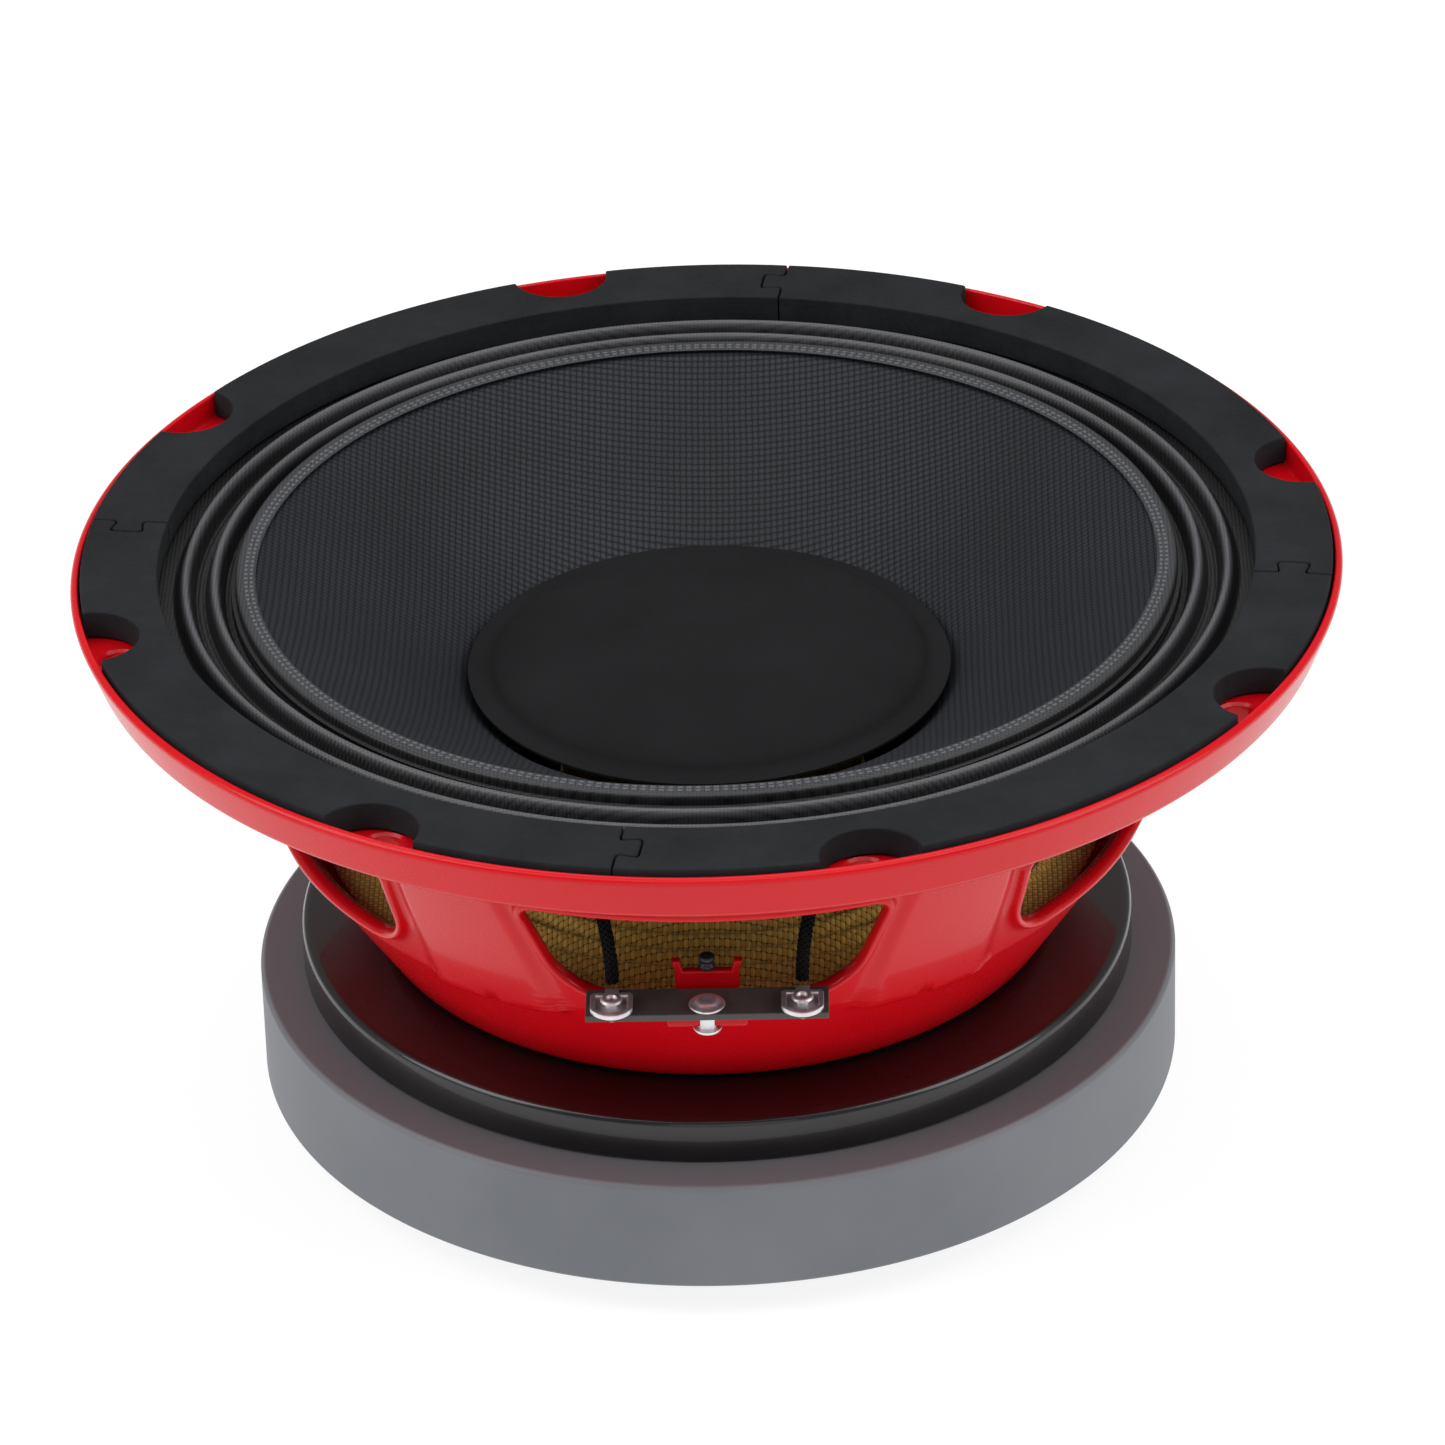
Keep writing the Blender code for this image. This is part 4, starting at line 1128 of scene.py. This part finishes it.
def goldCloth():
    paint = Paint("goldCloth", Specular_IOR_Level=0.35, Sheen_Weight=0.15)
    x, y, _ = paint.parts(paint.place())
    pitch = spider["weavePitch"]
    drift = paint.noise(60.0, 2.0, 0.5)
    height, onTop = paint.weave(x / pitch + drift * 0.5, y / pitch + drift * 0.4)
    cloud = paint.noise(30.0, 4.0, 0.6)
    shade = paint.spread(cloud, 0.3, 0.7)
    warp = paint.blend(shade, tone(248, 196, 84), tone(255, 220, 120))
    weft = paint.blend(shade, tone(226, 166, 66), tone(244, 190, 88))
    thread = paint.blend(onTop, weft, warp)
    # painted shade: the gaps between the threads are painted dark brown
    paint.set(Base_Color=paint.blend(paint.spread(height, 0.22, 0.46), tone(92, 58, 20), thread))
    paint.set(Roughness=paint.spread(height, 0.2, 1.0, 0.85, 0.6))
    paint.bump(height + paint.noise(2600.0, 2.0, 0.6) * 0.2, 0.22 * mm, 0.9)
    return paint


def buildSurround():
    s = surround
    flat, crest, band = s["flatHeight"], s["crestHeight"], high["surround"].z
    flange, outer, inner = s["flangeInner"], s["bandOuter"], s["bandInner"]
    # points of one pleat: millimetres from its middle, and from the level of crest or flat
    crestLine = [(0.75, -0.4), (0.3, 0.25), (-0.3, 0.25), (-0.75, -0.4)]
    troughLine = [(0.9, -0.6), (0.0, -0.1), (-0.9, -0.6)]
    line = [(s["landingOuter"], flat), (flange + 0.6 * mm, flat), (flange - 0.5 * mm, flat)]
    for centre in crestRadii:
        line += [(centre + out * mm, crest + up * mm) for out, up in crestLine]
        line += [(centre - s["pitch"] / 2 + out * mm, flat + up * mm) for out, up in troughLine]
    line += [(outer + 0.1 * mm, band - 0.5 * mm), (outer - 0.5 * mm, band)]
    line += [(inner + 1.2 * mm, band - 0.05 * mm), (inner + 0.2 * mm, band - 0.05 * mm)]
    line += [(inner, band - 0.25 * mm)]
    mesh = spun(sheetOutline(softened(line, 3), s["cloth"]), s["steps"])
    cloth = dopedCloth()
    piece = addPiece("pleatedSurround", mesh, cloth, ["surround"], None, sharp=70)
    bendRadially(piece, flange - 0.5 * mm, outer + 0.3 * mm)


def buildSpider():
    s = spider
    outer = high["spider"].x
    middle = (low["spider"].z + high["spider"].z) / 2 + s["cloth"] / 2
    landing = outer - s["landing"]
    waves = int((landing - s["inner"] - s["collar"]) / s["pitch"])
    inside = landing - waves * s["pitch"]
    line = [(outer, middle), (landing + 1.0 * mm, middle)]
    for step in range(waves * s["waveSteps"] + 1):
        wave = step / s["waveSteps"]
        rise = s["amplitude"] * math.sin(math.tau * wave)
        line.append((landing - s["pitch"] * wave, middle + rise))
    line += [(inside - 1.2 * mm, middle), (s["inner"] + 1.0 * mm, middle)]
    line += [(s["inner"], middle + 0.4 * mm)]
    mesh = spun(sheetOutline([Vector(point) for point in line], s["cloth"]), s["steps"])
    cloth = goldCloth()
    piece = addPiece("corrugatedSpider", mesh, cloth, ["spider"], None, sharp=70)
    bendRadially(piece, landing, s["inner"] + 2.0 * mm)


buildSurround()
buildSpider()
print("surround and spider built")


terminals = {
    "boardEdge": 0.18 * mm,
    "lugWall": 0.75 * mm,
    "lugRecess": 0.4 * mm,
    "lugTail": 1.9 * mm,
    "lugTailHalfWidth": 1.1 * mm,
    "noseShare": 0.6,
    "strands": 6,
    "leadRadius": 0.96 * mm,
    "strandRadius": 0.27 * mm,
    "braidPitch": 6.0 * mm,
    "leadSteps": 96,
    "coreScale": 2.5,
}


def fibreBoard():
    paint = Paint("fibreBoard", Specular_IOR_Level=0.3)
    x, y, z = paint.parts(paint.place())
    cloud = paint.noise(70.0, 5.0, 0.65)
    specks = paint.spread(paint.noise(2400.0, 2.0, 0.6), 0.55, 0.75)
    layers = paint.noise(1.0, 2.0, 0.5, paint.joined(x * 90, y * 90, z * 6000))
    base = paint.blend(paint.spread(cloud, 0.3, 0.7), tone(74, 74, 72), tone(90, 90, 88))
    paint.set(Base_Color=paint.blend(specks * 0.5, base, tone(70, 70, 68)))
    paint.set(Roughness=paint.spread(cloud, 0.3, 0.7, 0.42, 0.58))
    paint.bump(layers * 0.5 + specks * 0.3, 0.04 * mm, 0.6)
    return paint


def tinnedBrass():
    paint = Paint("tinnedBrass", Metallic=0.85)
    cloud = paint.noise(420.0, 4.0, 0.6)
    x, y, z = paint.parts(paint.place())
    scratch = paint.noise(1.0, 3.0, 0.6, paint.joined(x * 9000, y * 600, z * 600))
    shade = paint.spread(cloud, 0.35, 0.68)
    paint.set(Base_Color=paint.blend(shade, tone(214, 216, 220), tone(242, 243, 245)))
    paint.set(Roughness=paint.spread(cloud + scratch * 0.5, 0.4, 1.0, 0.32, 0.52))
    paint.bump(scratch + cloud * 0.6, 0.03 * mm, 0.5)
    return paint


def blackNylon():
    colours = tone(34, 32, 38), tone(52, 50, 56)
    clouds, grain = (300.0, 3.0, 0.5), (1500.0, 2.0, 0.5)
    return clouded("blackNylon", clouds, grain, colours, (0.24, 0.36), 0.02 * mm, 0.4)


def braidedYarn():
    colours, fluff = (tone(4, 4, 4), tone(12, 12, 12)), (2600.0, 3.0, 0.7)
    plain = {"Specular_IOR_Level": 0.2}
    return clouded("braidedYarn", fluff, fluff, colours, (0.6, 0.8), 0.05 * mm, 0.6, **plain)


def turnedPiece(points, place, steps=32):
    bm = spun(rounded(points, 4), steps)
    bmesh.ops.translate(bm, verts=bm.verts, vec=place)
    return bm


def middleOf(name):
    return (low[name] + high[name]) / 2


def standing(name):
    # where an upright node's axis is, its bottom, its top and its radius
    middle = middleOf(name)
    radius = (high[name].x - low[name].x) / 2
    return Vector((middle.x, middle.y, 0)), low[name].z, high[name].z, radius


def inMillimetres(points, origin):
    # profile of (radius, height over the origin, fillet), from millimetres
    return [(radius * mm, origin + height * mm, fillet * mm) for radius, height, fillet in points]


def buildBoard():
    piece = block(low["terminal_board"], high["terminal_board"], terminals["boardEdge"], 3)
    addPiece("terminalBoard", piece, fibreBoard(), ["terminal_board"])


def lugShape(name):
    # shallow tray with a rounded nose that laps over the board's front edge
    t = terminals
    lowest, highest = low[name], high[name] - Vector((0, t["lugTail"], 0))
    half = (highest.x - lowest.x) / 2
    centre = (highest.x + lowest.x) / 2
    nose = half * t["noseShare"]
    corner = 0.5 * mm
    outline = [
        (centre + half, highest.y - corner), (centre + half - corner, highest.y),
        (centre - half + corner, highest.y), (centre - half, highest.y - corner),
    ]
    for step in range(17):
        turn = math.pi * step / 16
        outline.append((centre - half * math.cos(turn), lowest.y + nose * (1 - math.sin(turn))))
    bm = bmesh.new()
    face = bm.faces.new([bm.verts.new((x, y, lowest.z)) for x, y in outline])
    made = bmesh.ops.extrude_face_region(bm, geom=[face])["geom"]
    bmesh.ops.translate(bm, verts=vertsOf(made), vec=(0, 0, highest.z - lowest.z))
    top = [item for item in made if isinstance(item, bmesh.types.BMFace)]
    bmesh.ops.recalc_face_normals(bm, faces=bm.faces)
    for wall, depth in ((t["lugWall"], 0.0), (0.15 * mm, -t["lugRecess"])):
        bmesh.ops.inset_region(bm, faces=top, thickness=wall, depth=depth, use_even_offset=True)
    rims = [edge for edge in bm.edges if edge.calc_face_angle(0) > 0.6 and level(edge)]
    bevelled(bm, rims, 0.09 * mm, 2)
    for vert in bm.verts:  # the nose curls down past the board's edge
        past = max(low["terminal_board"].y + 0.5 * mm - vert.co.y, 0.0)
        vert.co.z -= 0.16 * past * past / mm
    back, foot = highest.y + t["lugTail"], lowest.z + 0.05 * mm
    side = t["lugTailHalfWidth"]
    ends = (centre - side, highest.y - 0.5 * mm, foot), (centre + side, back, foot + 0.4 * mm)
    return joinInto(bm, block(*ends, 0.12 * mm))


def buildLugs():
    tin = tinnedBrass()
    for side in ("left", "right"):
        name = f"terminal_{side}"
        addPiece(f"solderLug_{side}", lugShape(name), tin, [name])
        name = f"lug_rivet_{side}"
        place, bottom, top, _ = standing(name)
        foot = [(0.55, 0.0, 0.1), (1.5, 0.0, 0.15), (1.5, 0.35, 0.1), (1.05, 0.45, 0.0)]
        head = [(1.05, -0.6, 0.0), (1.85, -0.6, 0.15), (1.55, -0.1, 0.25), (1.0, 0.0, 0.2)]
        head += [(0.6, -0.6, 0.2)]
        points = inMillimetres(foot, bottom) + inMillimetres(head, top)
        addPiece(f"lugEyelet_{side}", turnedPiece(points, place), tin, [name])
    name = "terminal_rivet"
    place, bottom, top, radius = standing(name)
    brim = top - 1.2 * mm
    foot = [(0.0, 0.0, 0.0), (2.2, 0.0, 0.2), (2.36, 0.6, 0.1), (1.6, 0.6, 0.0)]
    points = inMillimetres(foot, bottom) + [
        (1.6 * mm, brim, 0.0), (radius, brim, 0.12 * mm), (radius, brim + 0.35 * mm, 0.2 * mm),
        (radius * 0.72, brim + 0.55 * mm, 0.5 * mm), (radius * 0.52, top - 0.12 * mm, 0.5 * mm),
        (radius * 0.3, top, 0.3 * mm), (0.0, top - 0.25 * mm, 0.0),
    ]
    addPiece("boardRivet", turnedPiece(points, place, 48), tin, [name])
    name = "lead_peg"
    place, bottom, top, radius = standing(name)
    neck = radius * 0.8
    points = [
        (0.0, bottom, 0.0), (radius, bottom, 0.15 * mm), (radius, bottom + 0.7 * mm, 0.2 * mm),
        (neck, bottom + 1.0 * mm, 0.2 * mm), (neck, top - 1.3 * mm, 0.2 * mm),
        (radius, top - 1.0 * mm, 0.25 * mm), (radius * 0.9, top - 0.3 * mm, 0.3 * mm),
        (0.0, top, 0.0),
    ]
    addPiece("leadPeg", turnedPiece(points, place), blackNylon(), [name])


def leadLine(side):
    # from the tail of the lug straight up, then in under the cone's eyelet
    eyelet, lug = f"lead_eyelet_{side}", f"terminal_{side}"
    slope = math.atan2(cone["capDrop"], cone["edgeRadius"] - cone["capRadius"])
    centre = middleOf(eyelet)
    azimuth = math.atan2(centre.x, -centre.y)
    down = polar(math.sin(slope), azimuth, -math.cos(slope))
    finish = centre + down * 1.0 * mm
    start = Vector((middleOf(lug).x, high[lug].y + 1.4 * mm, high[lug].z))
    reach = 0.45 * (finish - start).length
    bends = (start, start + Vector((0, 0, reach)), finish + down * reach, finish)
    return interpolate_bezier(*bends, terminals["leadSteps"] + 1)


def braid(line, name):
    # strands that wind both ways round the line, over and under each other, on a plain core
    t = terminals
    curve = bpy.data.curves.new(name, "CURVE")
    curve.dimensions = "3D"
    curve.bevel_depth = t["strandRadius"]
    curve.bevel_resolution = 1
    curve.use_fill_caps = True
    last = len(line) - 1
    length = sum((b - a).length for a, b in zip(line, line[1:]))
    side = Vector((0, 1, 0)).cross(line[1] - line[0]).normalized()
    frames = []
    for index in range(last + 1):
        run = (line[min(index + 1, last)] - line[max(index - 1, 0)]).normalized()
        side = (side - run * side.dot(run)).normalized()
        frames.append((side, run.cross(side)))
    for hand in (-1, 1):
        for strand in range(t["strands"]):
            spline = curve.splines.new("POLY")
            spline.points.add(last)
            for index, (point, (first, second)) in enumerate(zip(line, frames)):
                wound = math.tau * index / last * length / t["braidPitch"]
                turn = hand * wound + math.tau * strand / t["strands"]
                wave = hand * math.cos(t["strands"] * wound)
                radius = t["leadRadius"] - 0.14 * mm + 0.1 * mm * wave
                place = point + (first * math.cos(turn) + second * math.sin(turn)) * radius
                spline.points[index].co = (*place, 1)
    core = curve.splines.new("POLY")
    core.points.add(last)
    for index, point in enumerate(line):
        core.points[index].co = (*point, 1)
        core.points[index].radius = t["coreScale"]
    holder = bpy.data.objects.new(name, curve)
    bpy.context.scene.collection.objects.link(holder)
    graph = bpy.context.evaluated_depsgraph_get()
    bm = bmesh.new()
    bm.from_mesh(holder.evaluated_get(graph).to_mesh())
    bpy.data.objects.remove(holder)
    bpy.data.curves.remove(curve)
    return bm


def buildLeads():
    yarn, metal = braidedYarn(), tinnedBrass()
    points = inMillimetres([
        (1.0, -0.7, 0.1), (1.7, -0.7, 0.15), (1.7, -0.35, 0.1), (1.3, -0.2, 0.1), (1.3, 0.7, 0.2),
        (1.0, 0.7, 0.1),
    ], 0.0)
    for side in ("left", "right"):
        line = leadLine(side)
        name = f"tinsel_lead_{side}"
        mesh, piece = braid(line, name), f"tinselLead_{side}"
        piece = addPiece(piece, mesh, yarn, [name], None, weighted=False)
        start, end = (0, 0, line[0].z), (0, 0, line[-1].z - 0.5 * mm)
        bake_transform(piece)
        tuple(start)
        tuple(end)
        name = f"lead_eyelet_{side}"
        centre = middleOf(name)
        run = (line[-1] - centre).normalized()
        bm = spun(rounded(points, 4), 32)
        turn = Vector((0, 0, 1)).rotation_difference(run).to_matrix().to_4x4()
        bmesh.ops.transform(bm, matrix=Matrix.Translation(centre) @ turn, verts=bm.verts)
        addPiece(f"coneEyelet_{side}", bm, metal, [name], "diaphragm")


buildBoard()
buildLugs()
buildLeads()
print("terminals and leads built")


screws = {
    "count": 4,
    "shank": 1.9 * mm,
    "thread": 0.5 * mm,
    "threadDepth": 0.25 * mm,
    "headHeight": 2.0 * mm,
    "slotWidth": 1.0 * mm,
    "slotLength": 4.2 * mm,
    "slotDepth": 1.2 * mm,
}


def brightZinc():
    colours = tone(150, 153, 160), tone(200, 202, 205)
    clouds, grain = (500.0, 4.0, 0.6), (1800.0, 2.0, 0.5)
    return clouded("brightZinc", clouds, grain, colours, (0.2, 0.36), 0.03 * mm, Metallic=1.0)


def buildScrews():
    s = screws
    zinc = brightZinc()
    shank, wide, long = s["shank"], s["slotWidth"] / 2, s["slotLength"] / 2
    for index in range(s["count"]):
        name = f"frame_screw_{index + 1}"
        place, bottom, top, radius = standing(name)
        head = top - s["headHeight"]
        points = [(0.0, bottom, 0.0), (shank * 0.6, bottom, 0.0)]
        for turn in range(int((head - bottom - 1.2 * mm) / s["thread"])):
            z = bottom + 0.5 * mm + turn * s["thread"]
            points += [(shank - s["threadDepth"], z, 0.0), (shank, z + s["thread"] / 2, 0.0)]
        points += [
            (shank, head - 0.4 * mm, 0.0), (shank, head, 0.0), (radius, head, 0.2 * mm),
            (radius, head + 0.7 * mm, 0.5 * mm), (radius * 0.7, top, 0.8 * mm), (0.0, top, 0.0),
        ]
        bm = turnedPiece(points, place)
        for x, y in ((long, wide), (wide, long)):
            centre, corner = place + Vector((0, 0, top)), Vector((x, y, s["slotDepth"]))
            bm = cutAway(bm, block(centre - corner, centre + corner, 0.1 * mm, 1))
        addPiece(f"frameScrew{index + 1}", bm, zinc, [name])


buildScrews()
print("screws built")
